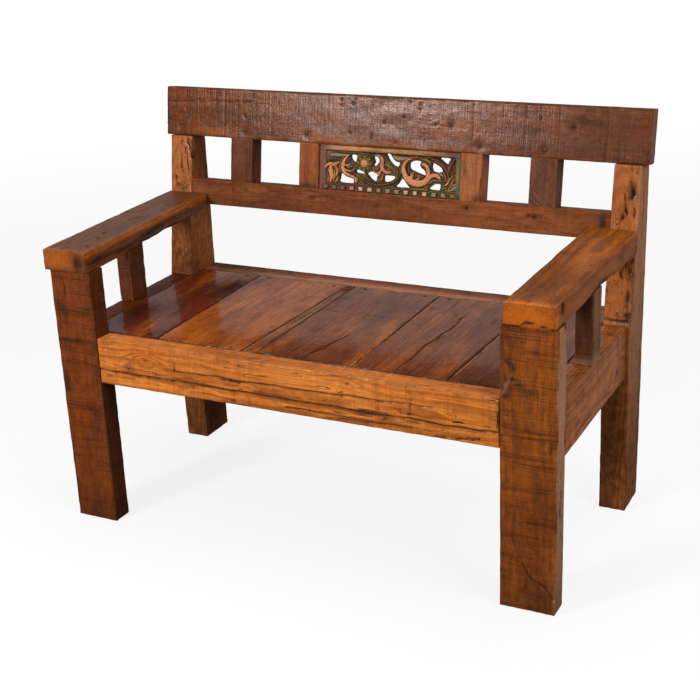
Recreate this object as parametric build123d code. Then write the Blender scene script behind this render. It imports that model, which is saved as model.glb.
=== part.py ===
from build123d import *
import math
import os

# Bench of reclaimed timber: four legs, two arms, a raked back with a pierced, carved panel.
# Millimetres. +X is the sitter's left seen from the front (the viewer's right), +Y is the back, +Z is up.
# The pieces are worked out from the front faces of the front legs, y = 0, and the floor, z = 0.
# They are written out with the origin on the floor, in the middle of the finished bench.

# Whole bench
bench_height = 900.0
frame_width = 1150.0
frame_depth = 580.0
seat_height = 448.0
back_rake_degrees = 9.3

# Joints and edges
joint_clearance = 0.3
arris = 1.5
tenon_shoulder = 16.0

# Front legs
leg_width_left = 105.0
leg_width_right = 115.0
leg_depth = 50.0
leg_tenon_width = 40.0
leg_tenon_thickness = 20.0
leg_tenon_length = 26.0

# Back posts
post_width = 60.0
post_outset = 8.0
post_depth_floor = 102.0
post_depth_seat = 114.0
post_tenon_width = 32.0
post_tenon_length = 62.0

# Seat frame
front_rail_height = 104.0
front_rail_thickness = 48.0
side_rail_height = 122.0
rear_rail_height = 104.0
rear_rail_thickness = 60.0
rail_tenon_length = 34.0
rail_tenon_thickness = 16.0

# Seat boards, from the front rail to the rear rail
board_thickness = 24.0
board_gap = 1.6
board_end_gap = 1.8
cleat_width = 26.0
cleat_height = 28.0
board_joint_front_shares = (-1.0, -0.660, -0.256, -0.188, 0.240, 0.634, 1.0)
board_joint_back_shares = (-1.0, -0.680, -0.219, -0.180, 0.232, 0.656, 1.0)
filler_strip = "seat_filler_strip"
board_names = ("seat_board_1", "seat_board_2", filler_strip, "seat_board_3", "seat_board_4", "seat_board_5")

# Arms
arm_underside_height = 597.0
arm_thickness = 47.0
arm_slope_share = 0.014
arm_front_overhang = 8.0
arm_outset_front_left = 7.0
arm_outset_front_right = -5.0
arm_outset_back = 11.0
arm_width_front_left = 112.0
arm_width_front_right = 102.0
arm_width_back_left = 107.0
arm_width_back_right = 114.0
arm_tenon_width = 30.0
arm_tenon_height = 18.0
arm_tenon_length = 20.0
arm_corner_radius = 9.0
wane_width = 22.0
wane_height = 15.0
wane_start_share = 0.30

# Arm balusters
baluster_width = 36.0
baluster_depth = 60.0
baluster_distance_left = 270.0
baluster_distance_right = 242.0
baluster_tenon_length = 14.0
baluster_tenon_inset = 9.0

# Back: crest rail, lower rail, blocks
crest_length = 1192.0
crest_height = 116.5
back_stock_thickness = 48.0
back_opening_height = 102.5
back_rail_height = 60.0
back_tenon_thickness = 16.0
back_tenon_setback = 24.0
block_widths = (58.0, 51.0, 50.0, 61.0)
block_centre_shares = (-0.734, -0.385, 0.389, 0.706)
block_tenon_length = 28.0
block_tenon_inset = 10.0

# Carved panel
panel_thickness = 22.0
panel_setback = 2.0
panel_side_gap = 0.6
panel_border = 9.0
panel_field_depth = 5.0
panel_tongue_thickness = 10.0
panel_tongue_height = 8.0
panel_tongue_inset = 10.0
dentil_height = 8.0
dentil_relief = 3.0
dentil_count = 15
dentil_gap_share = 0.45
flower_radius = 19.0
flower_heart_radius = 9.5
flower_petal_radius = 5.5
flower_relief = 4.0
petal_count = 8
flower_place_shares = (0.325, 0.635)

# Openings of the panel: closed curves through points, as shares of its width and height
opening_shares = (
    ((0.215, 0.79), (0.25, 0.81), (0.269, 0.79), (0.264, 0.70), (0.262, 0.63), (0.24, 0.645), (0.222, 0.69)),
    ((0.378, 0.79), (0.413, 0.80), (0.429, 0.74), (0.426, 0.67), (0.404, 0.595),
     (0.378, 0.60), (0.388, 0.68)),
    ((0.47, 0.88), (0.503, 0.885), (0.523, 0.80), (0.548, 0.725), (0.574, 0.70), (0.56, 0.605),
     (0.525, 0.625), (0.497, 0.71), (0.478, 0.80)),
    ((0.635, 0.70), (0.655, 0.75), (0.69, 0.775), (0.722, 0.76), (0.716, 0.70), (0.724, 0.63),
     (0.748, 0.57), (0.757, 0.50), (0.752, 0.45), (0.725, 0.47), (0.68, 0.52), (0.64, 0.58)),
    ((0.792, 0.735), (0.81, 0.745), (0.85, 0.69), (0.873, 0.61), (0.868, 0.57), (0.815, 0.545),
     (0.792, 0.60)),
    ((0.845, 0.865), (0.92, 0.87), (0.914, 0.80), (0.903, 0.72), (0.885, 0.745), (0.862, 0.80)),
    ((0.143, 0.36), (0.168, 0.375), (0.20, 0.31), (0.245, 0.27), (0.25, 0.19), (0.235, 0.165),
     (0.14, 0.17), (0.138, 0.26)),
    ((0.252, 0.45), (0.28, 0.49), (0.322, 0.435), (0.318, 0.40), (0.262, 0.405)),
    ((0.335, 0.41), (0.36, 0.455), (0.385, 0.46), (0.424, 0.41), (0.418, 0.33), (0.407, 0.245),
     (0.375, 0.27), (0.35, 0.34)),
    ((0.462, 0.39), (0.50, 0.405), (0.543, 0.39), (0.536, 0.33), (0.51, 0.28), (0.475, 0.25), (0.458, 0.27)),
    ((0.578, 0.33), (0.604, 0.35), (0.625, 0.26), (0.648, 0.175), (0.64, 0.16), (0.545, 0.16), (0.56, 0.24)),
    ((0.778, 0.165), (0.79, 0.23), (0.815, 0.285), (0.845, 0.30), (0.862, 0.285), (0.86, 0.19),
     (0.85, 0.155)),
)

# Pegs and nails
peg_radius = 4.5
peg_length = 40.0
peg_edge_distance = 14.0
leg_peg_spacing = 40.0
crest_peg_height = 20.0
block_peg_depth = 17.0
post_peg_height = 16.0
nail_radius = 1.6
nail_head_radius = 3.2
nail_head_height = 1.2
nail_length = 40.0
nail_clearance = 0.25
board_nail_inset = 30.0
board_nail_end_distance = 13.0
arm_nail_spread = 30.0
arm_nail_length = 80.0
baluster_nail_spread = 25.0

# Worked out from the sizes above
rake = math.radians(back_rake_degrees)
half_frame = frame_width / 2
post_outer = half_frame + post_outset
post_inner = post_outer - post_width
knee_y = frame_depth - post_depth_seat
crest_top = (bench_height - seat_height) / math.cos(rake)
crest_bottom = crest_top - crest_height
back_rail_top = crest_bottom - back_opening_height
back_rail_bottom = back_rail_top - back_rail_height
crest_back_y = knee_y + crest_top * math.sin(rake) + back_stock_thickness * math.cos(rake)
middle_y = (crest_back_y - arm_front_overhang) / 2
seat_front_y = leg_depth
seat_back_y = frame_depth - rear_rail_thickness
leg_widths = {-1: leg_width_left, 1: leg_width_right}
arm_outsets = {-1: arm_outset_front_left, 1: arm_outset_front_right}
arm_front_widths = {-1: arm_width_front_left, 1: arm_width_front_right}
arm_back_widths = {-1: arm_width_back_left, 1: arm_width_back_right}
baluster_distances = {-1: baluster_distance_left, 1: baluster_distance_right}
side_names = {-1: "left", 1: "right"}
rake_frame = Location((0, knee_y, seat_height), (-back_rake_degrees, 0, 0))

pieces = {}


def slab(x_span, y_span, z_span):
    """A rectangular solid between three spans, each a lowest and a highest value."""
    sizes = [high - low for low, high in (x_span, y_span, z_span)]
    corner = Pos(x_span[0], y_span[0], z_span[0])
    return corner * Box(*sizes, align=(Align.MIN, Align.MIN, Align.MIN))


def span(side, inner, outer):
    """The span between two distances from the middle, on one side of the bench."""
    return tuple(sorted((side * inner, side * outer)))


def grown(spans):
    """Spans let out by the joint clearance, for the mortise that takes a tenon."""
    return [(low - joint_clearance, high + joint_clearance) for low, high in spans]


def eased(solid):
    """The solid with its sharp edges taken off."""
    return chamfer(solid.edges(), arris)


def side_profile(points, x_span):
    """A solid with an outline in Y and Z, drawn across a span of X."""
    face = make_face(Polyline(*points, close=True))
    return Pos(x_span[0], 0, 0) * extrude(Plane.YZ * face, x_span[1] - x_span[0])


def plan_profile(points, z_span):
    """A solid with an outline in X and Y, raised across a span of Z."""
    face = make_face(Polyline(*points, close=True))
    return Pos(0, 0, z_span[0]) * extrude(face, z_span[1] - z_span[0])


def rod(start, radius, length, direction):
    """A round rod from a start point along a direction."""
    return extrude(Plane(origin=start, z_dir=direction) * Circle(radius), length)


def rake_y(z):
    """Where the raked front of the back stands at a height above the seat."""
    return knee_y + (z - seat_height) * math.tan(rake)


def arm_underside(y):
    """Height of the underside of the arms, which rise gently towards the back."""
    return arm_underside_height + arm_slope_share * y


def arm_end(height_at_front):
    """Where a line that rises with the arm meets the raked back: its Y and Z."""
    lean = math.tan(rake)
    y = (knee_y + (height_at_front - seat_height) * lean) / (1 - arm_slope_share * lean)
    return y, height_at_front + arm_slope_share * y


# Spans of the tenons, each used by the piece that has it and by the piece that it enters

def leg_tenon(side):
    middle = half_frame - leg_widths[side] / 2
    centre = leg_depth / 2
    root = arm_underside_height - tenon_shoulder
    top = arm_underside_height + leg_tenon_length
    return (
        span(side, middle - leg_tenon_width / 2, middle + leg_tenon_width / 2),
        (centre - leg_tenon_thickness / 2, centre + leg_tenon_thickness / 2),
        (root, top),
    )


def front_rail_tenon(side):
    inner = half_frame - leg_widths[side]
    centre = front_rail_thickness / 2
    return (
        span(side, inner, inner + rail_tenon_length),
        (centre - rail_tenon_thickness / 2, centre + rail_tenon_thickness / 2),
        (seat_height - front_rail_height + tenon_shoulder, seat_height - tenon_shoulder),
    )


def rear_rail_tenon(side):
    centre = frame_depth - rear_rail_thickness / 2
    return (
        span(side, post_inner, post_inner + rail_tenon_length),
        (centre - rail_tenon_thickness / 2, centre + rail_tenon_thickness / 2),
        (seat_height - rear_rail_height + tenon_shoulder, seat_height - tenon_shoulder),
    )


def side_rail_tenon_width(side):
    centre = (post_inner + half_frame) / 2
    return span(side, centre - rail_tenon_thickness / 2, centre + rail_tenon_thickness / 2)


def side_rail_tenons(side):
    heights = (seat_height - side_rail_height + tenon_shoulder, seat_height - tenon_shoulder)
    across = side_rail_tenon_width(side)
    front = (across, (leg_depth - rail_tenon_length, leg_depth + tenon_shoulder), heights)
    back = (across, (knee_y - tenon_shoulder, knee_y + rail_tenon_length), heights)
    return front, back


def arm_tenon(side):
    middle = (post_inner + post_outer) / 2
    height = arm_underside(knee_y) + arm_thickness / 2
    face = rake_y(height)
    return (
        span(side, middle - arm_tenon_width / 2, middle + arm_tenon_width / 2),
        (face - tenon_shoulder, face + arm_tenon_length),
        (height - arm_tenon_height / 2, height + arm_tenon_height / 2),
    )


def baluster_tenons(side):
    place = baluster_distances[side]
    across = span(side, half_frame - baluster_width + baluster_tenon_inset, half_frame - baluster_tenon_inset)
    along = (place - baluster_depth / 2 + baluster_tenon_inset, place + baluster_depth / 2 - baluster_tenon_inset)
    top = arm_underside(place)
    lower = (across, along, (seat_height - baluster_tenon_length, seat_height + tenon_shoulder))
    upper = (across, along, (top - tenon_shoulder, top + baluster_tenon_length))
    return lower, upper


# Spans in the raked frame: x across, y back from the raked front, z up along the rake

def post_tenon(side):
    middle = (post_inner + post_outer) / 2
    return (
        span(side, middle - post_tenon_width / 2, middle + post_tenon_width / 2),
        (back_tenon_setback - back_tenon_thickness / 2, back_tenon_setback + back_tenon_thickness / 2),
        (crest_bottom - tenon_shoulder, crest_bottom + post_tenon_length),
    )


def back_rail_tenon(side):
    return (
        span(side, post_inner, post_inner + rail_tenon_length),
        (back_tenon_setback, back_tenon_setback + back_tenon_thickness),
        (back_rail_bottom + tenon_shoulder, back_rail_top - tenon_shoulder),
    )


def block_span(place):
    centre = block_centre_shares[place] * post_inner
    return centre - block_widths[place] / 2, centre + block_widths[place] / 2


def block_tenons(place):
    low, high = block_span(place)
    across = (low + block_tenon_inset, high - block_tenon_inset)
    along = (back_tenon_setback - back_tenon_thickness / 2, back_tenon_setback + back_tenon_thickness / 2)
    lower = (across, along, (back_rail_top - block_tenon_length, back_rail_top + tenon_shoulder))
    upper = (across, along, (crest_bottom - tenon_shoulder, crest_bottom + block_tenon_length))
    return lower, upper


def panel_span():
    return block_span(1)[1] + panel_side_gap, block_span(2)[0] - panel_side_gap


def panel_tongues():
    low, high = panel_span()
    front = panel_setback + (panel_thickness - panel_tongue_thickness) / 2
    across = (low + panel_tongue_inset, high - panel_tongue_inset)
    along = (front, front + panel_tongue_thickness)
    lower = (across, along, (back_rail_top - panel_tongue_height, back_rail_top + tenon_shoulder))
    upper = (across, along, (crest_bottom - tenon_shoulder, crest_bottom + panel_tongue_height))
    return lower, upper


# Pegs and nails, with the holes that take them

def leg_peg_starts():
    """Front faces of the pegs that lock the front rail into the legs."""
    middle = seat_height - front_rail_height / 2
    starts = []
    for side in (-1, 1):
        x = side * (half_frame - leg_widths[side] + peg_edge_distance)
        starts += [(x, 0, middle - leg_peg_spacing / 2), (x, 0, middle + leg_peg_spacing / 2)]
    return starts


def crest_peg_starts():
    """Front faces of the pegs in the crest rail, in the raked frame."""
    height = crest_bottom + crest_peg_height
    posts = [(side * (post_inner + post_outer) / 2, 0, height) for side in (-1, 1)]
    blocks = [(sum(block_span(place)) / 2, 0, height) for place in range(len(block_widths))]
    return posts + blocks


def back_rail_peg_starts():
    """Front faces of the pegs below the blocks, in the raked frame."""
    height = back_rail_top - block_peg_depth
    return [(sum(block_span(place)) / 2, 0, height) for place in range(len(block_widths))]


def post_peg_starts():
    """Front faces of the pegs that lock the lower back rail into the posts, in the raked frame."""
    x = post_inner + peg_edge_distance
    height = back_rail_top - tenon_shoulder - post_peg_height / 2
    return [(side * x, 0, height) for side in (-1, 1)]


def pegs(starts):
    return [rod(start, peg_radius, peg_length, (0, 1, 0)) for start in starts]


def nail(head, length):
    """A nail driven straight down, its head flush at the point given."""
    x, y, z = head
    shank = rod((x, y, z - length), nail_radius, length, (0, 0, 1))
    cap = rod((x, y, z - nail_head_height), nail_head_radius, nail_head_height, (0, 0, 1))
    return shank + cap


def nail_hole(head, length):
    x, y, z = head
    deep = length + nail_clearance
    shank = rod((x, y, z - deep), nail_radius + nail_clearance, deep, (0, 0, 1))
    sink = nail_head_height + nail_clearance
    cap = rod((x, y, z - sink), nail_head_radius + nail_clearance, sink + arris, (0, 0, 1))
    return shank + cap


def board_nail_heads():
    """Two nails at each end of each board, and one at each end of the filler strip."""
    heads = []
    for place in range(len(board_names)):
        for y in (seat_front_y + board_nail_end_distance, seat_back_y - board_nail_end_distance):
            low, high = board_edges(place, y)
            inset = board_nail_inset + board_gap / 2
            xs = [(low + high) / 2] if board_names[place] == filler_strip else [low + inset, high - inset]
            heads += [(x, y, seat_height) for x in xs]
    return heads


def arm_nail_heads(side):
    """Two nails into the leg and two into the baluster, all from the top of the arm."""
    leg_x = side * (half_frame - leg_widths[side] / 2)
    leg_y = leg_depth / 2
    heads = [(leg_x + shift, leg_y) for shift in (-arm_nail_spread, arm_nail_spread)]
    baluster_x = side * (half_frame - baluster_width / 2)
    place = baluster_distances[side]
    heads += [(baluster_x, place + shift) for shift in (-baluster_nail_spread, baluster_nail_spread)]
    return [(x, y, arm_underside(y) + arm_thickness - nail_clearance) for x, y in heads]


def board_edges(place, y):
    """X of both edges of a seat board at a depth, before its gaps."""
    share = (y - seat_front_y) / (seat_back_y - seat_front_y)
    front = board_joint_front_shares
    back = board_joint_back_shares
    return [post_inner * (front[i] + (back[i] - front[i]) * share) for i in (place, place + 1)]


# The pieces

def front_leg(side):
    outline = [(0, 0), (leg_depth, 0), (leg_depth, arm_underside(leg_depth)), (0, arm_underside(0))]
    leg = eased(side_profile(outline, span(side, half_frame - leg_widths[side], half_frame)))
    leg += slab(*leg_tenon(side))
    leg -= slab(*grown(front_rail_tenon(side)))
    leg -= slab(*grown(side_rail_tenons(side)[0]))
    for start in leg_peg_starts():
        if start[0] * side > 0:
            leg -= rod(start, peg_radius, peg_length, (0, 1, 0))
    for head in arm_nail_heads(side)[:2]:
        leg -= nail_hole(head, arm_nail_length)
    return leg


def back_post(side):
    front_top = (knee_y + crest_bottom * math.sin(rake), seat_height + crest_bottom * math.cos(rake))
    back_top = (frame_depth, front_top[1] - (frame_depth - front_top[0]) * math.tan(rake))
    outline = [(frame_depth - post_depth_floor, 0), (frame_depth, 0), back_top, front_top, (knee_y, seat_height)]
    post = eased(side_profile(outline, span(side, post_inner, post_outer)))
    post += rake_frame * slab(*post_tenon(side))
    post -= slab(*grown(side_rail_tenons(side)[1]))
    post -= slab(*grown(rear_rail_tenon(side)))
    post -= slab(*grown(arm_tenon(side)))
    post -= rake_frame * slab(*grown(back_rail_tenon(side)))
    for start in post_peg_starts():
        if start[0] * side > 0:
            post -= rake_frame * rod(start, peg_radius, peg_length, (0, 1, 0))
    for start in crest_peg_starts()[:2]:
        if start[0] * side > 0:
            post -= rake_frame * rod(start, peg_radius, peg_length, (0, 1, 0))
    return post


def front_rail():
    heights = (seat_height - front_rail_height, seat_height)
    ends = (leg_width_left - half_frame, half_frame - leg_width_right)
    rail = eased(slab(ends, (0, front_rail_thickness), heights))
    for side in (-1, 1):
        rail += slab(*front_rail_tenon(side))
    for start in leg_peg_starts():
        rail -= rod(start, peg_radius, peg_length, (0, 1, 0))
    return rail


def rear_rail():
    heights = (seat_height - rear_rail_height, seat_height)
    rail = eased(slab((-post_inner, post_inner), (seat_back_y, frame_depth), heights))
    for side in (-1, 1):
        rail += slab(*rear_rail_tenon(side))
    return rail


def post_front_y(z):
    """Front face of a back post below the seat, which leans a little towards the floor."""
    lean_share = (post_depth_seat - post_depth_floor) / seat_height
    return knee_y + (seat_height - z) * lean_share


def side_rail(side):
    low = seat_height - side_rail_height
    outline = [(leg_depth, low), (post_front_y(low), low), (knee_y, seat_height), (leg_depth, seat_height)]
    rail = eased(side_profile(outline, span(side, post_inner, half_frame)))
    for tenon in side_rail_tenons(side):
        rail += slab(*tenon)
    rail -= slab(*grown(baluster_tenons(side)[0]))
    return rail


def cleats():
    top = seat_height - board_thickness
    heights = (top - cleat_height, top)
    front_ends = (leg_width_left - half_frame + arris, half_frame - leg_width_right - arris)
    front = slab(front_ends, (front_rail_thickness, front_rail_thickness + cleat_width), heights)
    rear = slab((-post_inner + arris, post_inner - arris), (seat_back_y - cleat_width, seat_back_y), heights)
    for head in board_nail_heads():
        front -= nail_hole(head, nail_length)
        rear -= nail_hole(head, nail_length)
    return front, rear


def seat_board(place):
    ends = (seat_front_y + board_end_gap / 2, seat_back_y - board_end_gap / 2)
    front = board_edges(place, ends[0])
    back = board_edges(place, ends[1])
    gap = board_gap / 2
    outline = [
        (front[0] + gap, ends[0]),
        (front[1] - gap, ends[0]),
        (back[1] - gap, ends[1]),
        (back[0] + gap, ends[1]),
    ]
    board = eased(plan_profile(outline, (seat_height - board_thickness, seat_height)))
    for head in board_nail_heads():
        if front[0] < head[0] < front[1] or back[0] < head[0] < back[1]:
            board -= nail_hole(head, nail_length)
    return board


def wane(side, inner_front, inner_back):
    """The missing natural edge under the inner side of the left arm, growing towards the back."""
    sections = []
    for share, size in ((wane_start_share, 0.1), (0.7, 0.6), (1.1, 1.0)):
        y = share * knee_y
        x = side * (inner_front + (inner_back - inner_front) * share)
        z = arm_underside(y)
        corner = (x - side * arris, y, z - arris)
        across = (x + side * wane_width * size, y, z - arris)
        upward = (x - side * arris, y, z + wane_height * size)
        bulge = (x + side * wane_width * size * 0.4, y, z + wane_height * size * 0.75)
        edge = ThreePointArc(across, bulge, upward)
        sections.append(make_face([Line(corner, across), edge, Line(upward, corner)]))
    return loft(sections, ruled=True)


def arm(side):
    outer_front = half_frame + arm_outsets[side]
    outer_back = half_frame + arm_outset_back
    inner_front = outer_front - arm_front_widths[side]
    inner_back = outer_back - arm_back_widths[side]
    front = -arm_front_overhang
    low_y, low_z = arm_end(arm_underside_height)
    top_y, top_z = arm_end(arm_underside_height + arm_thickness)
    front_low = arm_underside(front)
    outline = [(front, front_low), (low_y, low_z), (top_y, top_z), (front, front_low + arm_thickness)]
    reach = span(side, 0, 2 * half_frame)
    plan = [
        (side * outer_front, front),
        (side * outer_back, top_y),
        (side * inner_back, top_y),
        (side * inner_front, front),
    ]
    blank = side_profile(outline, reach) & plan_profile(plan, (0, bench_height))
    if side < 0:
        rounded = blank.edges().sort_by_distance((side * inner_back, top_y, top_z))
        upright = [edge for edge in rounded if abs(edge.center().Z - (low_z + top_z) / 2) < arris]
        blank = fillet(upright[0], arm_corner_radius)
    blank = eased(blank)
    if side < 0:
        blank -= wane(side, inner_front, inner_back)
    blank += slab(*arm_tenon(side))
    blank -= slab(*grown(leg_tenon(side)))
    blank -= slab(*grown(baluster_tenons(side)[1]))
    for head in arm_nail_heads(side):
        blank -= nail_hole(head, arm_nail_length)
    return blank


def arm_baluster(side):
    place = baluster_distances[side]
    front = place - baluster_depth / 2
    back = place + baluster_depth / 2
    outline = [(front, seat_height), (back, seat_height), (back, arm_underside(back)), (front, arm_underside(front))]
    baluster = eased(side_profile(outline, span(side, half_frame - baluster_width, half_frame)))
    for tenon in baluster_tenons(side):
        baluster += slab(*tenon)
    for head in arm_nail_heads(side)[2:]:
        baluster -= nail_hole(head, arm_nail_length)
    return baluster


def crest_rail():
    ends = (-crest_length / 2, crest_length / 2)
    crest = eased(slab(ends, (0, back_stock_thickness), (crest_bottom, crest_top)))
    for side in (-1, 1):
        crest -= slab(*grown(post_tenon(side)))
    for place in range(len(block_widths)):
        crest -= slab(*grown(block_tenons(place)[1]))
    crest -= slab(*grown(panel_tongues()[1]))
    for start in crest_peg_starts():
        crest -= rod(start, peg_radius, peg_length, (0, 1, 0))
    return rake_frame * crest


def lower_back_rail():
    ends = (-post_inner, post_inner)
    rail = eased(slab(ends, (0, back_stock_thickness), (back_rail_bottom, back_rail_top)))
    for side in (-1, 1):
        rail += slab(*back_rail_tenon(side))
    for place in range(len(block_widths)):
        rail -= slab(*grown(block_tenons(place)[0]))
    rail -= slab(*grown(panel_tongues()[0]))
    for start in back_rail_peg_starts() + post_peg_starts():
        rail -= rod(start, peg_radius, peg_length, (0, 1, 0))
    return rake_frame * rail


def back_block(place):
    block = eased(slab(block_span(place), (0, back_stock_thickness), (back_rail_top, crest_bottom)))
    for tenon in block_tenons(place):
        block += slab(*tenon)
    for start in crest_peg_starts()[2:] + back_rail_peg_starts():
        block -= rod(start, peg_radius, peg_length, (0, 1, 0))
    return rake_frame * block


def panel_point(shares):
    """A point of the carving, from shares of the panel's width and height, in the panel's own plane."""
    low, high = panel_span()
    return low + (high - low) * shares[0], back_rail_top + back_opening_height * shares[1]


def panel_prism(face, front, back):
    """A face drawn in X and Z, given depth between two distances behind the raked front."""
    upright = Plane(origin=(0, back, 0), x_dir=(1, 0, 0), z_dir=(0, -1, 0))
    return extrude(upright * face, back - front)


def flower(field):
    """The flower: a ring of round petals and a raised heart."""
    x, z = panel_point(flower_place_shares)
    around = PolarLocations(flower_radius - flower_petal_radius, petal_count)
    petals = Sketch() + [Pos(x, z) * place * Circle(flower_petal_radius) for place in around]
    raised = panel_prism(petals, field - flower_relief, field)
    heart = Pos(x, z) * Circle(flower_heart_radius)
    return raised + panel_prism(heart, field - flower_relief - dentil_relief / 2, field)


def dentils(field):
    """The row of small blocks along the foot of the panel."""
    low, high = panel_span()
    pitch = (high - low - 2 * panel_border) / dentil_count
    width = pitch * (1 - dentil_gap_share)
    foot = back_rail_top + dentil_height / 2
    row = [
        Pos(low + panel_border + pitch * (i + 1 / 2), foot + dentil_height / 2) * Rectangle(width, dentil_height)
        for i in range(dentil_count)
    ]
    return panel_prism(Sketch() + row, field - dentil_relief, field)


def carved_panel():
    low, high = panel_span()
    front = panel_setback
    back = panel_setback + panel_thickness
    field = front + panel_field_depth
    heights = (back_rail_top, crest_bottom)
    panel = slab((low, high), (front, back), heights)
    inner = ((low + panel_border, high - panel_border), (front - arris, field))
    panel -= slab(*inner, (back_rail_top + dentil_height / 2, crest_bottom - panel_border))
    for tongue in panel_tongues():
        panel += slab(*tongue)
    for shares in opening_shares:
        outline = Spline(*[panel_point(point) for point in shares], periodic=True)
        panel -= panel_prism(make_face(outline), front - arris, back + arris)
    panel += flower(field) + dentils(field)
    return rake_frame * panel


def add(name, piece):
    """Keeps a piece under its node's name, with the origin in the middle of the bench on the floor."""
    moved = Pos(0, -middle_y, 0) * piece
    moved.label = name
    pieces[name] = moved


def build():
    for side, name in side_names.items():
        add("front_leg_" + name, front_leg(side))
        add("back_post_" + name, back_post(side))
        add("side_rail_" + name, side_rail(side))
        add("arm_" + name, arm(side))
        add("arm_baluster_" + name, arm_baluster(side))
    add("front_rail", front_rail())
    add("rear_rail", rear_rail())
    front_cleat, rear_cleat = cleats()
    add("front_cleat", front_cleat)
    add("rear_cleat", rear_cleat)
    for place, name in enumerate(board_names):
        add(name, seat_board(place))
    add("crest_rail", crest_rail())
    add("lower_back_rail", lower_back_rail())
    for place in range(len(block_widths)):
        add("back_block_" + str(place + 1), back_block(place))
    add("carved_panel", carved_panel())
    add("leg_pegs", Compound(children=pegs(leg_peg_starts())))
    add("crest_pegs", rake_frame * Compound(children=pegs(crest_peg_starts())))
    add("back_rail_pegs", rake_frame * Compound(children=pegs(back_rail_peg_starts())))
    add("post_pegs", rake_frame * Compound(children=pegs(post_peg_starts())))
    add("seat_nails", Compound(children=[nail(head, nail_length) for head in board_nail_heads()]))
    arm_heads = arm_nail_heads(-1) + arm_nail_heads(1)
    add("arm_nails", Compound(children=[nail(head, arm_nail_length) for head in arm_heads]))


build()
os.makedirs("parts", exist_ok=True)
for name, piece in pieces.items():
    export_step(piece, "parts/" + name + ".step")
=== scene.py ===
import logging
import math
from dataclasses import dataclass, field, replace
from enum import Enum
from functools import cached_property, reduce
from typing import Dict, List, Optional, Sequence, Tuple

import bpy
import numpy as np
from mathutils import Matrix, Vector


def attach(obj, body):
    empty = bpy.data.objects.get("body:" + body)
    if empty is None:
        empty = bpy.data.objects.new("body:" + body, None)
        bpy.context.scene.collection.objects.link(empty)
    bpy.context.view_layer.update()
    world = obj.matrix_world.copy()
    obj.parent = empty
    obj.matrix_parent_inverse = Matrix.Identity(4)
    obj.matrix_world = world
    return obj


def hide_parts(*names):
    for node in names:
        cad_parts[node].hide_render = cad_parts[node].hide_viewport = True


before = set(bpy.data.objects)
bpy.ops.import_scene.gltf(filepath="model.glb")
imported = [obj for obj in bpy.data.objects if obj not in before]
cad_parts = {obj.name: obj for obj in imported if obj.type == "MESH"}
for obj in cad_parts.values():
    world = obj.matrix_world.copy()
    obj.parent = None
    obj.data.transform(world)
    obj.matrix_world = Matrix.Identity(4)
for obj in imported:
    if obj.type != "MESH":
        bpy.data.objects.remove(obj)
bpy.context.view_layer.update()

LOG = logging.getLogger("bench")
METRE = 0.001  # metres in a millimetre; every size below is in millimetres
BODY = "root"

Array = np.ndarray
Colour = Tuple[float, float, float]
Place = Tuple[float, float, float]
Span = Tuple[float, float]
Shares = Tuple[float, ...]
Material, Tree = bpy.types.Material, bpy.types.NodeTree
Socket, Inputs, Outputs = bpy.types.NodeSocket, bpy.types.NodeInputs, bpy.types.NodeOutputs


# Shared sizes and shapes

@dataclass(frozen=True)
class Datum:
    """Sizes that the sub-assemblies share, with y = 0 at the front legs and z = 0 on the floor."""

    half_frame: float = 575.0
    frame_depth: float = 580.0
    seat: float = 448.0
    rake_degrees: float = 9.3
    stock: float = 48.0
    leg_depth: float = 50.0
    post_width: float = 60.0
    post_outset: float = 8.0
    post_depth_seat: float = 114.0
    crest_height: float = 116.5
    opening_height: float = 102.5
    bench_height: float = 900.0
    arm_underside: float = 597.0
    arm_slope: float = 0.014
    arm_overhang: float = 8.0

    @property
    def rake(self) -> float:
        """Lean of the back in radians."""
        return math.radians(self.rake_degrees)

    @property
    def knee(self) -> float:
        """Depth of the front of the back posts at the seat."""
        return self.frame_depth - self.post_depth_seat

    @property
    def post_outer(self) -> float:
        """Distance of the outer faces of the posts from the middle."""
        return self.half_frame + self.post_outset

    @property
    def post_inner(self) -> float:
        """Distance of the inner faces of the posts from the middle."""
        return self.post_outer - self.post_width

    @property
    def crest_top(self) -> float:
        """Top of the crest rail, measured up the rake from the seat."""
        return (self.bench_height - self.seat) / math.cos(self.rake)

    @property
    def crest_bottom(self) -> float:
        """Underside of the crest rail, measured up the rake."""
        return self.crest_top - self.crest_height

    @property
    def rail_top(self) -> float:
        """Top of the lower back rail, measured up the rake."""
        return self.crest_bottom - self.opening_height

    @property
    def middle(self) -> float:
        """Depth of the middle of the whole bench, where the frame has y = 0."""
        back = self.knee + self.crest_top * math.sin(self.rake) + self.stock * math.cos(self.rake)
        return (back - self.arm_overhang) / 2

    def raked(self, x: float, deep: float, up: float) -> Place:
        """A point of the leaning back: across, behind its front face and up the rake."""
        y = self.knee + up * math.sin(self.rake) + deep * math.cos(self.rake)
        return x, y, self.seat + up * math.cos(self.rake) - deep * math.sin(self.rake)

    def arm_bottom(self, y: float) -> float:
        """Height of the underside of the arms at a depth."""
        return self.arm_underside + self.arm_slope * y


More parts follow.
